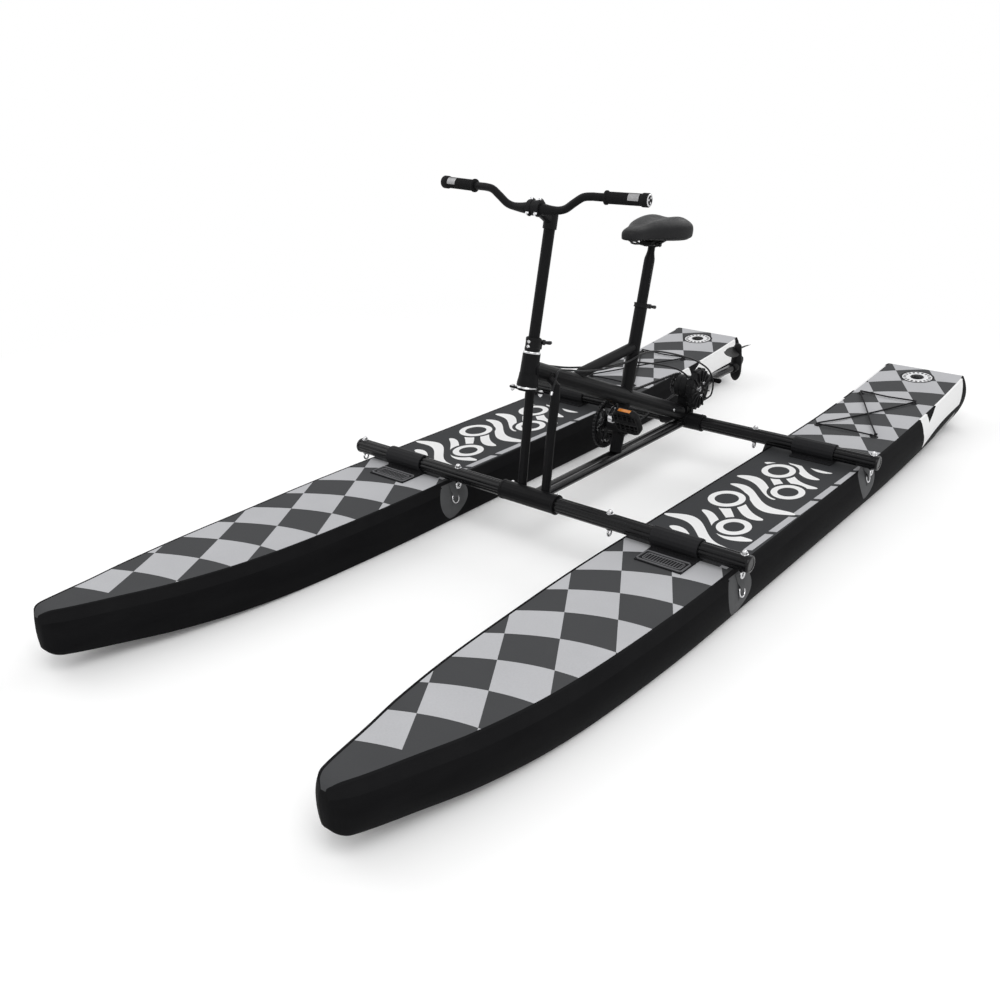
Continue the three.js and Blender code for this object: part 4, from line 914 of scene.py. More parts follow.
def clamp_lever(name, body, node, middle, tilt, rise):
    """Cam lever on its screw, with a dished paddle."""
    turn = Quaternion((1, 0, 0), -tilt)
    made = Build()
    put = lambda x, y, z: middle + turn @ Vector((x, y, z)) * MM
    pivot_y = 32.5
    made.lathe(put(9.3, pivot_y, rise), (1, 0, 0), [(0, 7.2), (0.8, 8), (8.2, 8), (9, 7.2), (9, 0.01)], 32)
    made.lathe(put(-13, pivot_y, rise), (1, 0, 0),
            [(0, 4.6), (0.8, 5.4), (3.2, 5.4), (3.6, 4.6), (3.6, 3), (22, 3), (22.4, 0.01)], 24)
    rows = []
    for x, y, w, t in ((14, 30, 4.2, 3.6), (16, 34, 4.6, 3.6), (19.5, 40, 5.0, 3.2), (21.6, 46, 5.6, 2.9),
            (22.2, 53, 6.0, 2.7), (21.8, 59, 5.6, 2.6), (21, 63, 4.0, 2.4), (20.6, 64.4, 2.0, 1.8)):
        rows.append([put(x + cos(a) * t, y, rise + sin(a) * w) for a in turns(16)])
    made.rings(rows)
    made.done(name, "crank", body, (node,), slot="stainless", crease=0.9)


clamp_lever("stem_clamp_lever", "stem_lever", "stem_lever", on_steer(COLLAR_MIDDLE), HEAD_TILT, 8)


def on_seat(s):
    return at(*(SEAT_TOP + SEAT_DIR * s))


seat_tilt = atan2(SEAT_DIR.y, SEAT_DIR.z)
seat_clamp = Build()
seat_clamp.lathe(on_seat(-10.5), SEAT_DIR, [(0, 21.9), (0, 24.4), (0.8, 25.2), (4.4, 25.2), (5.2, 24.5),
        (9.8, 24.5), (10.6, 25.2), (14.2, 25.2), (15, 24.4), (15, 18.6), (10.8, 18.6), (10.8, 21.9)], 56,
        hollow=True)
turn = Quaternion((1, 0, 0), -seat_tilt)
for sign in (1, -1):
    seat_clamp.box(on_seat(-3) + turn @ Vector((sign * 5.4, 30.1, 0)) * MM, (7, 15, 11), turn, bevel=2.2)
seat_clamp.done("seat_clamp", "housing", "frame", ("seat_collar",))
clamp_lever("seat_clamp_lever", "seat_lever", "seat_lever", on_seat(-3), seat_tilt, 0)

# Handlebar
BAR_Y, BAR_Z, GRIP_START = -375, 1063, 6
BAR = [(0, 0, -2), (58, 0, -3), (98, 1, 3), (130, 2, 23), (157, 4, 39), (184, 6, 43),
        (212, 8, 43.3), (350, 19, 44.8)]
line = [Vector((-x, y, z)) for x, y, z in BAR[:0:-1]] + [Vector(p) for p in BAR]
line = [at(p.x, BAR_Y + p.y, BAR_Z + p.z) for p in curve_through(line, 10)]
bar = Build()
radii = [mix(15.9, 11.1, clamp((abs(p.x) / MM - 34) / 42) ** 0.8) for p in line]
bar.tube(line, radii, 28)
bar.done("bar_tube", "frame_paint", "stem", ("handlebar",), crease=1.0)

bar_clamp = Build()
centre = at(0, BAR_Y, BAR_Z)
bar_clamp.lathe(on_steer(406), STEER_UP,
        [(0, 17.0), (0, 19.6), (1.4, 20.5), (40, 20.5), (46, 19.4), (49, 16), (50.5, 10), (51, 0.01)], 48)
neck_from = on_steer(432)
neck_dir = centre - neck_from
side_x = Vector((1, 0, 0))
neck_up = neck_dir.cross(side_x).normalized()
rows = []
for t, w, h in ((0.0, 15, 16), (0.25, 14.2, 15), (0.5, 14, 13.6), (0.72, 15.5, 14), (0.9, 18, 17)):
    rows.append([neck_from + neck_dir * t + side_x * squarish(cos(a), 0.7) * w * MM
            + neck_up * squarish(sin(a), 0.7) * h * MM for a in turns(32)])
bar_clamp.rings(rows)
for sign in (1, -1):
    bar_clamp.lathe(at(sign * 6.5, BAR_Y, BAR_Z), (sign, 0, 0),
            [(0, 16.1), (0, 21), (1, 22), (14, 22), (15.5, 20.8), (15.5, 16.1)], 48)
bar_clamp.lathe(at(-7, BAR_Y, BAR_Z), (1, 0, 0), [(0, 16.2), (0, 20.4), (14, 20.4), (14, 16.2)], 48)
face = -neck_dir.normalized()
CLAMP_CORNERS = [side_x * x * 0.0145 + neck_up * z * 0.021 for x in (1, -1) for z in (1, -1)]
for corner in CLAMP_CORNERS:
    bar_clamp.box(centre + corner - face * 0.004, (10, 9, 16), face_turn(face, (1, 0, 0)), bevel=2.5)
bar_clamp.done("bar_clamp_body", "housing", "stem", ("bar_clamp",))
clamp_bolts = Build()
for corner in CLAMP_CORNERS:
    clamp_bolts.bolt(centre + corner - face * 0.0118, -face, 3.4, 3.6)
clamp_bolts.done("bar_clamp_bolts", "stainless", "stem")

for name, side in SIDES:
    x, y, z = BAR[GRIP_START]
    start = Vector((side * x, BAR_Y + y, BAR_Z + z))
    along = unit((side * 150, 12, 1.6))
    root = start + along * 14
    put = at(*root)
    grip = Build()
    profile = [(0, 11.4), (0, 17.5), (1, 19), (5, 19), (6.4, 17.6), (7, 16)]
    for k in range(30):
        s = 9 + k * 3.15
        profile += [(s, 16.1), (s + 0.5, 15.2), (s + 1.5, 15.2), (s + 2.0, 16.1)]
    profile += [(104, 16.1), (104.6, 15), (105, 11.4)]
    grip.lathe(put, along, profile, 48)
    grip.done(f"grip_rubber_{name}", "grip", "stem", (f"grip_{name}",), crease=1.1)
    # Painted highlight: a silver strip on each grip's upper front face stands in for the sheen that the
    # lamps put on the black rubber there.
    band = Build()
    turn_to = Vector((0, 0, 1)).rotation_difference(along)
    up_side = turn_to.inverted() @ Vector((0, -0.87, 0.49))
    mid = atan2(up_side.y, up_side.x)
    rows = []
    for s, lift in ((72, 0), (72.8, 0.8), (103, 0.8), (104, 0)):
        row = [put + turn_to @ Vector((cos(mid + a) * r, sin(mid + a) * r, s)) * MM
                for a, r in [(-0.62 + 1.24 * k / 10, 16.2 + lift) for k in range(11)]
                + [(0.62 - 1.24 * k / 10, 14.8) for k in range(11)]]
        rows.append(row)
    band.rings(rows)
    band.done(f"grip_highlight_strip_{name}", "silver_paint", "stem", slot="stainless", crease=0.5)
    plug = Build()
    plug.lathe(put + along * 0.1054, along, [(0, 11.4), (0, 16.0), (3, 16.2), (5, 17.8), (7, 18.4),
            (21.5, 18.4), (24, 17), (25, 13.6), (25, 0.01)], 48)
    plug.done(f"grip_end_{name}", "grip", "stem")
    studs = Build()
    for angle in turns(3, 0.4):
        off = turn_to @ Vector((cos(angle), sin(angle), 0)) * 0.0078
        studs.lathe(put + along * 0.13 + off, along, [(0, 3.3), (0.9, 3.3), (1.3, 2.8), (1.3, 0.01)], 20)
    studs.lathe(put + along * 0.129, along,
            [(0, 12.6), (0, 16.2), (0.6, 16.2), (2.0, 14.2), (2.0, 12.6)], 40, hollow=True)
    studs.done(f"grip_studs_{name}", "stainless", "stem")

# Seat post and rails
post_head = Build()
POST_TOP = SEAT_TOP + SEAT_DIR * 191
rail_z, post_y = POST_TOP.z + 13, POST_TOP.y
post_tube = Build()
post_tube.lathe(on_seat(-165), SEAT_DIR, [(0, 16.4), (0, 17.4), (0.6, 17.9), (308, 17.9), (318, 17.2),
        (332, 13.6), (340, 12.2), (352, 12), (356, 13), (356.4, 0.01)], 48)
post_tube.done("seat_post_tube", "frame_paint", "seat", ("seat_post",))
for x in (-15, 15):
    post_head.box(at(x, post_y + 2, rail_z - 6.6), (16, 40, 11), bevel=3)
post_head.box(at(0, post_y + 2, rail_z - 7.4), (50, 22, 9), bevel=3.5)
post_head.box(at(0, post_y + 6, rail_z + 4.6), (46, 100, 13), bevel=4)
for x in (-22, 22):
    post_head.tube([at(x, post_y + 2 + d, rail_z + 0.2) for d in (-19, -18, 18, 19)], [5.2, 6.4, 6.4, 5.2],
            20)
post_head.done("post_clamp", "housing", "seat")
clamp_nuts = Build()
for sign in (1, -1):
    clamp_nuts.lathe(at(sign * 27.2, post_y + 2, rail_z - 5), (sign, 0, 0),
            [(0, 7.5), (1, 7.5), (1.2, 6.4), (6, 6.2), (6.6, 5.4), (6.6, 0.01)], 6)
clamp_nuts.done("post_clamp_nuts", "crank", "seat", slot="stainless")
scale_marks = Build()
for k in range(9):
    s = 70 + k * 8
    scale_marks.tube([on_seat(s) + Quaternion(SEAT_DIR, a) @ Vector((0.01792, 0, 0))
            for a in [radians(-14 + 4 * j - (6 if k % 2 == 0 else 0)) for j in range(5)]], 0.28, 6)
scale_marks.done("post_marks", "silver_paint", "seat", slot="stainless")

under = Build()
rows = []
for y, half, top, low in SADDLE[1:-1]:
    rows.append([at(cos(a) * half * 0.84, y, low + 3.4 + sin(a) * (3.2 if a > pi else 6))
            for a in turns(24)])
under.rings(rows)
under.done("saddle_base", "housing", "seat", slot="saddle_cover", crease=0.9)

# Cranks, chain set and pedals
CRANK, RISE = 170, radians(151)
CRANK_SIDES = (("left", 1, RISE), ("right", -1, RISE + pi))
SPIDER_TURNS = turns(5, RISE + pi / 5)
RING_X, RING_R = -48, 80
GEAR_Y, GEAR_Z, COG_R = 590, 312, 36


def beside(x, y, z, turn, along, across):
    """Point measured along and across a crank."""
    return at(x, y + cos(turn) * along - sin(turn) * across, z + sin(turn) * along + cos(turn) * across)


for name, side, turn in CRANK_SIDES:
    crank = Build()
    rows = []
    for s in [-19, -18, -15, -9, 0, 9, 20, 40, 80, 120, 148, 158, 166, 173, 180, 183, 184]:
        if s <= 20:
            half = sqrt(max(0.3, 19.2 ** 2 - s * s)) if s < 12 else mix(15, 12.6, (s - 12) / 8)
        elif s < 150:
            half = mix(12.6, 10.8, (s - 20) / 130)
        else:
            half = sqrt(max(0.3, 14.2 ** 2 - (s - 170) ** 2)) if s > 160 else 11.2
        thick = 7.0 if s < 30 or s > 150 else 6.0
        rows.append([beside(side * (65 + squarish(sin(a), 0.6) * thick), BB_Y, BB_Z, turn, s,
                squarish(cos(a), 0.6) * half) for a in turns(20)])
    crank.rings(rows)
    if side < 0:
        crank.lathe(at(-59, BB_Y, BB_Z), (1, 0, 0),
                [(0, 17), (8, 17), (9, 12), (116.5, 12), (116.6, 0.01)], 32)
        for a in SPIDER_TURNS:
            rows = []
            for s, w, d in ((10, 11, 5), (24, 8, 4.4), (44, 6.5, 3.2), (60, 6.5, 2.8),
                    (66, 5, 2.4), (68, 2.5, 2.0)):
                rows.append([beside(-55.2 + sin(q) * d * 0.8, BB_Y, BB_Z, a, s, cos(q) * w)
                        for q in turns(14)])
            crank.rings(rows)
    else:
        crank.lathe(at(58.2, BB_Y, BB_Z), (-1, 0, 0),
                [(0, 17), (4, 16), (8, 14.6), (20, 14.4), (20, 0.01)], 32)
    end = beside(side * 72, BB_Y, BB_Z, turn, CRANK, 0)
    crank.lathe(end, (side, 0, 0),
            [(-13, 6), (4.6, 6), (4.8, 7.4), (6.2, 7.4), (6.4, 5.8), (88, 5.6), (89, 0.01)], 24)
    crank.done(f"crank_arm_{name}", "crank", "cranks", (f"crank_{name}",), crease=0.9)
    caps = Build()
    caps.lathe(at(side * 71.2, BB_Y, BB_Z), (side, 0, 0),
            [(0, 12.4), (1.2, 12.2), (2.6, 10.6), (2.9, 8.8), (2.2, 7.6), (2.2, 0.01)], 40)
    caps.lathe(beside(side * 56.5, BB_Y, BB_Z, turn, CRANK, 0), (side, 0, 0),
            [(0, 6.1), (0, 13), (0.8, 15.6), (15, 16), (16.4, 14.4), (17.4, 9), (17.4, 6.1)], 40)
    caps.done(f"crank_caps_{name}", "stainless", "cranks")


TOOTH_SHAPE = (0.0, 0.35, 0.95, 1.0, 0.95, 0.35)


def gear_plate(build, x, y, z, root, tip, teeth, thick, bore, windows):
    """Toothed rim and plain hub, with an open ring of windows between them."""
    radii = [mix(root, tip, share) for share in TOOTH_SHAPE * teeth]
    angles = turns(len(radii))
    hub, rim = windows

    def ring(off, radius):
        return [at(x + off, y + cos(a) * radius, z + sin(a) * radius) for a in angles]

    def edge(off, inset):
        return [at(x + off, y + cos(a) * (r - inset), z + sin(a) * (r - inset))
                for a, r in zip(angles, radii)]

    half = thick / 2
    build.rings([ring(half, rim), edge(half, 0.9), edge(half - 0.6, 0), edge(0.6 - half, 0),
            edge(-half, 0.9), ring(-half, rim)], closed=True)
    build.rings([ring(half, bore), ring(half, hub), ring(-half, hub), ring(-half, bore)], closed=True)


chain_ring = Build()
gear_plate(chain_ring, RING_X, BB_Y, BB_Z, 77.2, 83.0, 40, 3.4, 12.6, (30, 69))
for a in SPIDER_TURNS:
    rows = []
    for s, w in ((28, 10.5), (38, 8.2), (52, 7.6), (62, 9), (69, 13), (71, 14)):
        rows.append([beside(RING_X + dx, BB_Y, BB_Z, a, s, dw) for dx, dw in ((1.7, -w + 0.5),
                (1.7, w - 0.5), (1.2, w), (-1.2, w), (-1.7, w - 0.5),
                (-1.7, -w + 0.5), (-1.2, -w), (1.2, -w))])
    chain_ring.rings(rows)
chain_ring.done("chain_ring", "crank", "cranks", ("chainring",), crease=0.5)
ring_bolts = Build()
for a in SPIDER_TURNS:
    ring_bolts.lathe(beside(RING_X - 8.6, BB_Y, BB_Z, a, 62, 0), (-1, 0, 0),
            [(0, 4.6), (0.7, 4.6), (1.2, 4), (1.2, 2.4), (0.4, 2.2), (0.4, 0.01)], 20)
    ring_bolts.lathe(beside(RING_X + 1.7, BB_Y, BB_Z, a, 62, 0), (1, 0, 0),
            [(0, 4.8), (0.8, 4.6), (1.2, 3.8), (1.2, 0.01)], 20)
ring_bolts.done("chain_ring_bolts", "stainless", "cranks")

# Chain: links laid round the two wheels
span = hypot(GEAR_Y - BB_Y, GEAR_Z - BB_Z)
lean = atan2(GEAR_Z - BB_Z, GEAR_Y - BB_Y)
big, small = RING_R + 4.2, COG_R + 4.2
wrap = acos((big - small) / span)
outline = []
for i in range(241):
    a = lean + wrap + i / 240 * (2 * pi - 2 * wrap)
    outline.append(Vector((BB_Y + cos(a) * big, BB_Z + sin(a) * big)))
for i in range(121):
    a = lean - wrap + i / 120 * 2 * wrap
    outline.append(Vector((GEAR_Y + cos(a) * small, GEAR_Z + sin(a) * small)))
outline.append(outline[0])
lengths = [0.0]
for p, q in zip(outline, outline[1:]):
    lengths.append(lengths[-1] + (q - p).length)
LINK_PITCH = 12.7
LINKS = 2 * round(lengths[-1] / LINK_PITCH / 2)


def on_chain(s):
    s = s % lengths[-1]
    k = max(i for i, v in enumerate(lengths) if v <= s)
    k = min(k, len(outline) - 2)
    gap = lengths[k + 1] - lengths[k]
    return outline[k].lerp(outline[k + 1], (s - lengths[k]) / gap if gap else 0)


PLATE_HALF = 0.4
pins = [on_chain(k * lengths[-1] / LINKS) for k in range(LINKS)]
chain = Build()
for k in range(LINKS):
    p, q = pins[k], pins[(k + 1) % LINKS]
    d = (q - p).normalized()
    n = Vector((-d.y, d.x))
    half, r = (2.5, 3.9) if k % 2 else (3.55, 4.0)
    shape = []
    for pin, way in ((p, 1), (q, -1)):
        for j in range(8):
            a = way * pi / 2 + pi * j / 7
            shape.append(pin + (d * cos(a) + n * sin(a)) * r)
        shape.append(p.lerp(q, 0.5) - n * way * r * 0.62)
    for side in (1, -1):
        x0 = RING_X + side * half
        chain.rings([[at(x0 + off, v.x, v.y) for v in shape] for off in (-PLATE_HALF, PLATE_HALF)])
    chain.lathe(at(RING_X - 4.0, p.x, p.y), (1, 0, 0),
            [(0, 1.7), (0.05, 1.9), (2, 1.9), (2, 3.1), (6, 3.1), (6, 1.9), (7.95, 1.9), (8, 1.7)], 12)
chain.done("chain_links", "chain_steel", "frame", ("chain",), crease=0.5)

cog = Build()
gear_plate(cog, RING_X, GEAR_Y, GEAR_Z, 33.4, 39.0, 18, 3.2, 9, (20, 27))
for a in turns(6):
    cog.rings([[beside(RING_X + dx, GEAR_Y, GEAR_Z, a, s, dw)
            for dx, dw in ((1.5, -4), (1.5, 4), (-1.5, 4), (-1.5, -4))] for s in (18, 29)])
cog.lathe(at(-54, GEAR_Y, GEAR_Z), (1, 0, 0),
        [(0, 12.4), (0.6, 13), (3, 13.4), (3.4, 15), (19, 15), (19, 8.4), (60, 8.4), (60, 0.01)], 36)
cog.done("drive_cog", "chain_steel", "sprocket", ("drive_sprocket",), crease=0.5)

# Pedals: a resin cage of slats round an axle barrel, with reflectors
PEDAL_TURN = radians(-62)
for name, side, turn in CRANK_SIDES:
    centre = beside(side * 124, BB_Y, BB_Z, turn, CRANK, 0)
    tip = Quaternion((1, 0, 0), PEDAL_TURN)
    put = lambda x, y, z: centre + tip @ Vector((x, y, z)) * MM
    cage = Build()
    outer = []
    corner, hw, hl = 26, 47, 48
    for sx, sy, quarter in ((1, 1, 0), (-1, 1, 1), (-1, -1, 2), (1, -1, 3)):
        for i in range(9):
            a = (quarter + i / 8) * pi / 2
            outer.append((sx * (hw - corner), sy * (hl - corner), cos(a), sin(a)))
    loop = lambda r, z: [put(x + c * (corner - r), y + s * (corner - r), z) for x, y, c, s in outer]
    cage.rings([loop(8, 11.4), loop(2, 11.4), loop(0.4, 9.6), loop(0, 4), loop(0, -4), loop(0.4, -9.6),
            loop(2, -11.4), loop(8, -11.4), loop(9, -9.6), loop(9, 9.6)], closed=True)
    cage.lathe(put(-40, 0, 0), tip @ Vector((1, 0, 0)),
            [(0, 7.2), (0, 11), (2, 12.4), (22, 12.8), (58, 12.8), (78, 12.4), (80, 11), (80, 7.2)], 32)
    for x in (-27, -9, 9, 27):
        for sy in (1, -1):
            cage.box(put(x, sy * 25.5, 0), (4.6, 33, 20), tip, bevel=1.6)
    for y in (-33, -21, 21, 33):
        cage.box(put(0, y, 0), (80, 3.4, 21), tip, bevel=1.4)
    for x in (-36, -18, 0, 18, 36):
        for y in (-42, 42):
            for sz in (1, -1):
                cage.lathe(put(x * 0.72, y, sz * 10.9), tip @ Vector((0, 0, sz)),
                        [(0, 2.6), (1.3, 2.2), (1.9, 1.4), (1.9, 0.01)], 12)
    cage.done(f"pedal_cage_{name}", "housing", f"pedal_{name}", (f"pedal_{name}",), crease=0.7)
    glow = Build()
    for sy in (1, -1):
        glow.box(put(0, sy * 46.6, 0), (46, 3.4, 12.5), tip, bevel=1.0)
    glow.done(f"pedal_reflectors_{name}", "reflector", f"pedal_{name}", slot="housing")

# Drive unit
TILT_Y, TILT_Z, LUG_R = 668, 300, 24
case = Build()
case.lathe(at(-34, GEAR_Y, GEAR_Z), (1, 0, 0), [(0, 17), (0, 36), (2, 40), (6, 42), (20, 42), (22, 40.5),
        (26, 40.5), (28, 42), (50, 42), (52, 40.5), (56, 40.5), (58, 42), (71, 42)], 64)
case.lathe(at(37.2, GEAR_Y, GEAR_Z), (1, 0, 0), [(0, 30), (0, 74.4), (1, 75.8), (12.5, 75.8), (14, 74.6),
        (14, 72.2), (15.4, 71), (18.5, 69.2), (20.6, 66), (21.6, 62), (20.8, 58), (20.8, 34), (21.8, 31),
        (21.8, 24), (19.8, 22), (19.8, 0.01)], 72)
for a in turns(14, 0.13):
    rib = beside(58.0, GEAR_Y, GEAR_Z, a, 51, 0)
    case.box(rib, (9, 42, 5.4), Quaternion((1, 0, 0), a), bevel=1.4)
    lug = beside(44, GEAR_Y, GEAR_Z, a, 76.5, 0)
    case.box(lug, (13, 7, 10), Quaternion((1, 0, 0), a), bevel=1.8)
for sign in (1, -1):
    x0, x1 = (23, 34) if sign > 0 else (-34, -23)
    outline = [Vector((GEAR_Y, GEAR_Z - 36)), Vector((TILT_Y, TILT_Z - LUG_R))]
    for j in range(1, 16):
        a = -pi / 2 + pi * j / 16
        outline.append(Vector((TILT_Y + cos(a) * LUG_R, TILT_Z + sin(a) * LUG_R)))
    outline += [Vector((TILT_Y, TILT_Z + LUG_R)), Vector((GEAR_Y, GEAR_Z + 36))]
    middle = Vector((640, 304))
    rows = []
    for x, inset in ((x0, 1.4), (x0 + 1.2, 0), (x1 - 1.2, 0), (x1, 1.4)):
        rows.append([at(x, *(p + (middle - p).normalized() * inset)) for p in outline])
    case.rings(rows)
case.done("drive_case_shell", "housing", "frame", ("drive_case",), crease=0.6)
case_bolts = Build()
for a in turns(3, 0.8):
    case_bolts.bolt(beside(58.9, GEAR_Y, GEAR_Z, a, 27.5, 0), (1, 0, 0), 4.4, 4.2)
    case_bolts.bolt(beside(-33.8, GEAR_Y, GEAR_Z, a, 29, 0), (-1, 0, 0), 3.2, 2.6)
case_bolts.lathe(at(56.8, GEAR_Y, GEAR_Z), (1, 0, 0),
        [(0, 11), (1, 11), (1.6, 10), (1.6, 6), (0.4, 5.4), (0.4, 0.01)], 6)
spot = BEAM_B - BEAM_DIR * 91
case_bolts.bolt(at(28.4, spot.y, spot.z), (1, 0, 0), 4.4, 3.8)
case_bolts.done("drive_bolts", "stainless", "frame")

# Folding leg and propeller
head = Build()
head.lathe(at(-22.4, TILT_Y, TILT_Z), (1, 0, 0),
        [(0, 9), (0, 19), (1, 20), (43.8, 20), (44.8, 19), (44.8, 9)], 48)
head.lathe(at(-33.6, TILT_Y, TILT_Z), (1, 0, 0),
        [(0, 0.01), (0, 5), (0.6, 5.8), (2, 7.9), (65.2, 7.9), (66.6, 5.8), (67.2, 5), (67.2, 0.01)], 32)
head.lathe(at(0, TILT_Y + 12, TILT_Z), (0, 1, 0), [(0, 17), (6, 20), (14, 21.5), (30, 21.5), (31, 20.2),
        (36, 20.2), (37, 21.5), (62, 21.5), (63, 20.2), (68, 20.2), (69, 21.5), (79, 21.5),
        (80, 20.6), (80, 15.6), (20, 15.6)], 48)
head.done("leg_head_shell", "housing", "leg_head", ("leg_head",))
pod = Build()
pod_y = TILT_Y + 330
pod.lathe(at(0, pod_y, TILT_Z - 60), (0, 0, 1), [(0, 0.01), (1, 5), (4, 9.4), (10, 14), (18, 18),
        (28, 20.8), (40, 22), (82, 22), (96, 21), (106, 19.4), (112, 18.2), (112, 6.4), (80, 6.4)], 48)
pod.lathe(at(0, pod_y - 44, TILT_Z), (0, 1, 0), [(0, 15.4), (0, 18.6), (1.6, 20), (32, 20), (40, 18)], 40)
rows = []
for s, half, thick in ((17, 24, 3.2), (30, 23, 2.9), (44, 20, 2.6),
        (54, 15, 2.2), (59, 9, 1.8), (60, 4, 1.2)):
    rows.append([at(cos(a) * thick, pod_y + s, TILT_Z + 6 + sin(a) * half + (s - 17) * 0.2)
            for a in turns(28)])
pod.rings(rows)
pod.done("drive_pod_shell", "housing", "leg", ("drive_pod",), crease=0.8)

prop = Build()
prop.lathe(at(0, pod_y, TILT_Z + 19), (0, 0, 1), [(0, 6), (33.3, 6), (33.3, 17.2), (34.1, 18), (62, 15.6),
        (66, 14.2), (71, 11), (74, 6.4), (75.2, 0.01)], 48)
for sign in (1, -1):
    rows = []
    for s in (10, 16, 26, 38, 50, 62, 74, 84, 92, 97, 99.6):
        t = s / 100
        if s < 84:
            chord = 13 + 14.5 * sin(pi * min(1, 0.12 + 0.86 * t))
        else:
            chord = 26 * sqrt(max(0.02, 1 - ((s - 76) / 24.2) ** 2))
        pitch = mix(radians(58), radians(22), t ** 0.7)
        thick = mix(3.4, 1.0, t)
        sweep = 6 * t * t
        row = []
        for a in turns(24):
            u, v = cos(a) * chord - sweep, sin(a) * thick
            y = u * cos(pitch) - v * sin(pitch)
            z = u * sin(pitch) + v * cos(pitch)
            row.append(at(sign * y, pod_y + sign * s, TILT_Z + 67.3 + z * 0.8))
        rows.append(row)
    prop.rings(rows)
prop.done("propeller_blades", "housing", "propeller", ("propeller",), crease=0.9)

# Deck cords and steering cables
for name, side in SIDES:
    cx = side * HULL_X + CORD_SHIFT
    corner = lambda dx, y, lift=0: at(cx + side * dx * CORD_X, y, deck_at(y) + 8.5 + lift)
    middle = (CORD_FRONT + CORD_REAR) / 2
    route = [corner(1.02, CORD_FRONT + 10), corner(0.5, middle - CORD_CROSS, 2), corner(0, middle, 4),
            corner(-0.5, middle + CORD_CROSS, 2), corner(-1, CORD_REAR - 6), corner(-0.9, CORD_REAR + 8),
            corner(0, CORD_REAR + 2, -1), corner(0.9, CORD_REAR + 8), corner(1, CORD_REAR - 6, 0.4),
            corner(0.5, middle + CORD_CROSS, -3), corner(0, middle, -4),
            corner(-0.5, middle - CORD_CROSS, -3), corner(-1, CORD_FRONT + 6),
            corner(-0.9, CORD_FRONT - 8), corner(0, CORD_FRONT - 2, -1), corner(0.92, CORD_FRONT - 8)]
    cord = Build()
    cord.tube(curve_through(route, 14), 3.0, 12)
    for place in (route[0], route[-1]):
        cord.lathe(place - Vector((0.006, 0, 0)), (1, 0, 0), [(0, 2.6), (1, 4.4), (11, 4.4), (12, 2.6)], 16)
    cord.done(f"deck_cord_run_{name}", "cord", "frame", (f"deck_cord_{name}",), crease=1.2)

CABLE_FRONT = [(64, -372, 528), (62, -352, 560), (52, -318, 586), (40, -250, 572), (33, -150, 545)]
CABLES = {
    "upper": CABLE_FRONT + [
        (27, -13, 522), (25.6, 120, 516), (25.6, 205, 524), (20, 300, 512), (14, 409, 482),
        (10, 520, 446), (12, 620, 408), (26, 702, 358), (38, 728, 305), (42, 716, 262), (40, 690, 250),
        (26, 650, 240), (16, 617.1, 237)],
    "lower": [(-x, y, z) for x, y, z in CABLE_FRONT] + [
        (-27, -13, 518), (-25.6, 100, 497), (-25.6, 182, 490), (-12, 280, 470), (6, 400, 436),
        (16, 480, 406), (20, 540, 372), (21, 565, 347)],
}
BEND_Z = 528
bends = ("steering", "frame", at(0, CABLE_FRONT[0][1], BEND_Z), at(0, CABLE_FRONT[2][1], BEND_Z))
for name, route in CABLES.items():
    run = curve_through([at(*p) for p in route], 10)
    cable = Build()
    cable.tube(run, 3.2, 14)
    cable.done(f"cable_run_{name}", "cable", bends, (f"steering_cable_{name}",), crease=1.2)
    for which, body, tip, inward in (("front", "steering", run[0], run[1]),
            ("rear", "frame", run[-1], run[-2])):
        end = Build()
        end.lathe(tip, inward - tip, [(-2, 1.6), (0, 3.8), (0.5, 4.4), (9, 4.4), (10, 3.6)], 20)
        end.done(f"cable_end_{name}_{which}", "stainless", body)

# Stage
FLOOR_HALF, FLOOR_Z, FLOOR_LIFT, FADE_FROM, FADE_TO = 30, -0.0005, 0.08, 2.2, 3.6
WORLD_SOFT, WORLD_PLAIN = 0.6, 1.0
WHITE = (1, 1, 1, 1)


def background_rays(tree):
    """One for the rays that see the background: from the camera, mirrored or passed through."""
    path = tree.nodes.new("ShaderNodeLightPath").outputs
    seen = path["Is Camera Ray"]
    for kind in ("Is Glossy Ray", "Is Transmission Ray"):
        either = tree.nodes.new("ShaderNodeMath")
        either.operation = "MAXIMUM"
        tree.links.new(seen, either.inputs[0])
        tree.links.new(path[kind], either.inputs[1])
        seen = either.outputs[0]
    return seen


def floor_paper():
    """White paper, a little lifted where it is seen, that fades to plain white far away."""
    g = Graph("floor_white", (0.93, 0.93, 0.93), 0.9)
    g.set("Base Color", g.blend(g.noise(3.0, 2.0), (0.925, 0.925, 0.925), (0.935, 0.935, 0.935)))
    far = g.value("ShaderNodeVectorMath", {0: g.coords}, "Value", operation="LENGTH")
    seen = Value(g, background_rays(g.tree))
    white = g.value("ShaderNodeEmission", {"Color": WHITE, "Strength": 1.0})
    lift = g.value("ShaderNodeEmission", {"Color": WHITE, "Strength": seen * FLOOR_LIFT})
    lifted = g.value("ShaderNodeAddShader", {0: Value(g, g.shader.outputs[0]), 1: lift})
    fade = g.ranged(far, FADE_FROM, FADE_TO, 0.0, 1.0) * seen
    faded = g.value("ShaderNodeMixShader", {0: fade, 1: lifted, 2: white})
    g.feed(g.tree.nodes["Material Output"].inputs["Surface"], faded)
    return g.mat


floor = bpy.data.objects.new("floor", bpy.data.meshes.new("floor"))
corners = [(x * FLOOR_HALF, y * FLOOR_HALF, FLOOR_Z) for x, y in ((-1, -1), (1, -1), (1, 1), (-1, 1))]
floor.data.from_pydata(corners, [], [(0, 1, 2, 3)])
floor.data.materials.append(floor_paper())
bpy.context.scene.collection.objects.link(floor)

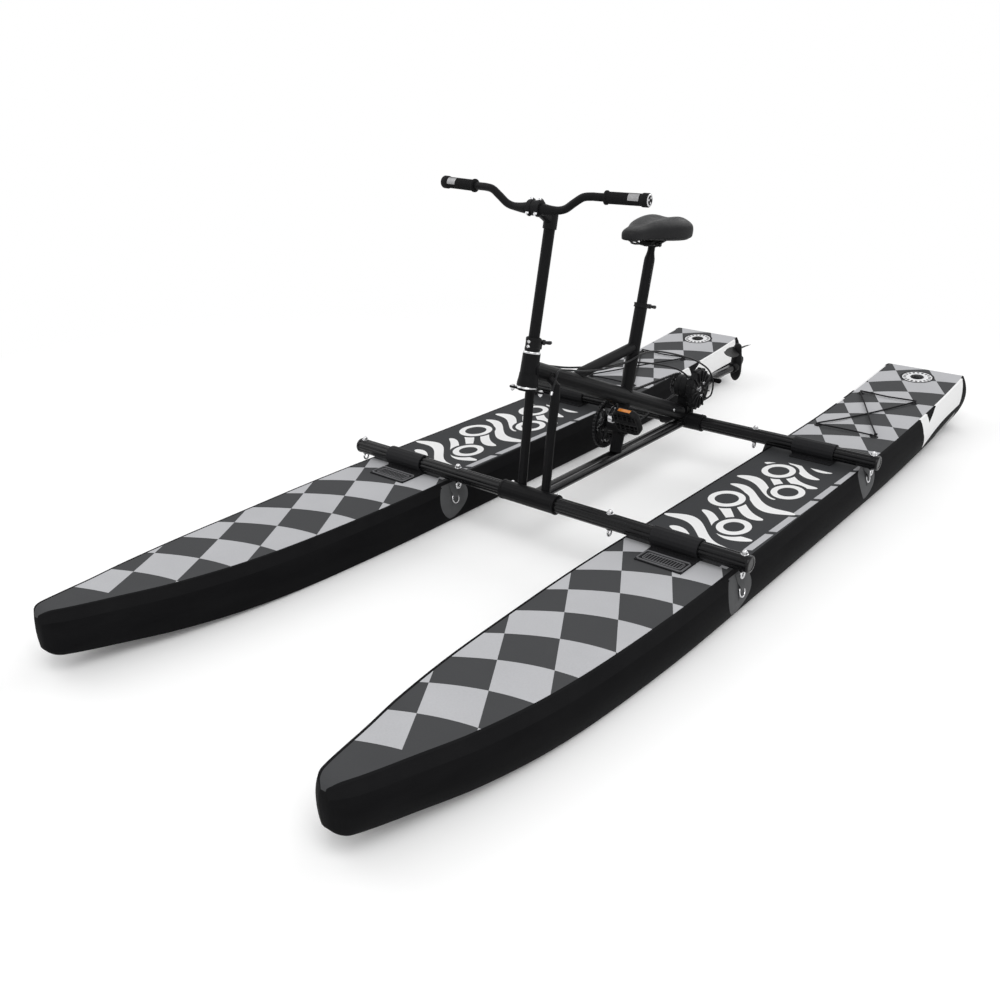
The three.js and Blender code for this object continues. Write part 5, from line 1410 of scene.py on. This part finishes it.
world = bpy.data.worlds.new("studio")
bpy.context.scene.world = world
world.use_nodes = True
nodes, links = world.node_tree.nodes, world.node_tree.links
choose = nodes.new("ShaderNodeMixShader")
links.new(background_rays(world.node_tree), choose.inputs[0])
lights = (nodes["Background"], WORLD_SOFT), (nodes.new("ShaderNodeBackground"), WORLD_PLAIN)
for k, (light, strength) in enumerate(lights):
    light.inputs["Color"].default_value = WHITE
    light.inputs["Strength"].default_value = strength
    links.new(light.outputs[0], choose.inputs[k + 1])
links.new(choose.outputs[0], nodes["World Output"].inputs["Surface"])


def area_light(name, place, aim, size, power):
    data = bpy.data.lights.new(name, "AREA")
    data.shape = "RECTANGLE"
    data.size, data.size_y = size
    data.energy = power
    lamp = bpy.data.objects.new(name, data)
    bpy.context.scene.collection.objects.link(lamp)
    lamp.location = place
    lamp.rotation_euler = (Vector(aim) - Vector(place)).to_track_quat("-Z", "Y").to_euler()


area_light("key", (2.5, -3.0, 5.0), (0, 0, 0.3), (4, 4), 152)
area_light("fill", (-4.5, -1.5, 3.5), (0, 0, 0.4), (4, 4), 64)
area_light("back", (0.5, 5.0, 4.0), (0, 0, 0.5), (5, 3), 88)

# Camera
SENSOR, FOCAL_PIXELS, PHOTO_PIXELS = 36, 1021.12, 1000
EYE = (1.7662, -2.7393 - CENTRE_Y * MM, 1.446)
YAW, PITCH, ROLL = radians(38.71), radians(23.37), radians(-0.06)
back = Vector((sin(YAW) * cos(PITCH), -cos(YAW) * cos(PITCH), sin(PITCH)))
right = Vector((cos(YAW), sin(YAW), 0))
up = back.cross(right)
right, up = right * cos(ROLL) + up * sin(ROLL), up * cos(ROLL) - right * sin(ROLL)
lens = bpy.data.cameras.new("photo_view")
lens.sensor_width = SENSOR
lens.lens = SENSOR * FOCAL_PIXELS / PHOTO_PIXELS
lens.clip_end = 100
camera = bpy.data.objects.new("photo_view", lens)
bpy.context.scene.collection.objects.link(camera)
camera.matrix_world = Matrix([*zip(right, up, back, EYE), (0, 0, 0, 1)])
bpy.context.scene.camera = camera
bpy.context.scene.view_settings.view_transform = "Standard"

bpy.context.view_layer.update()
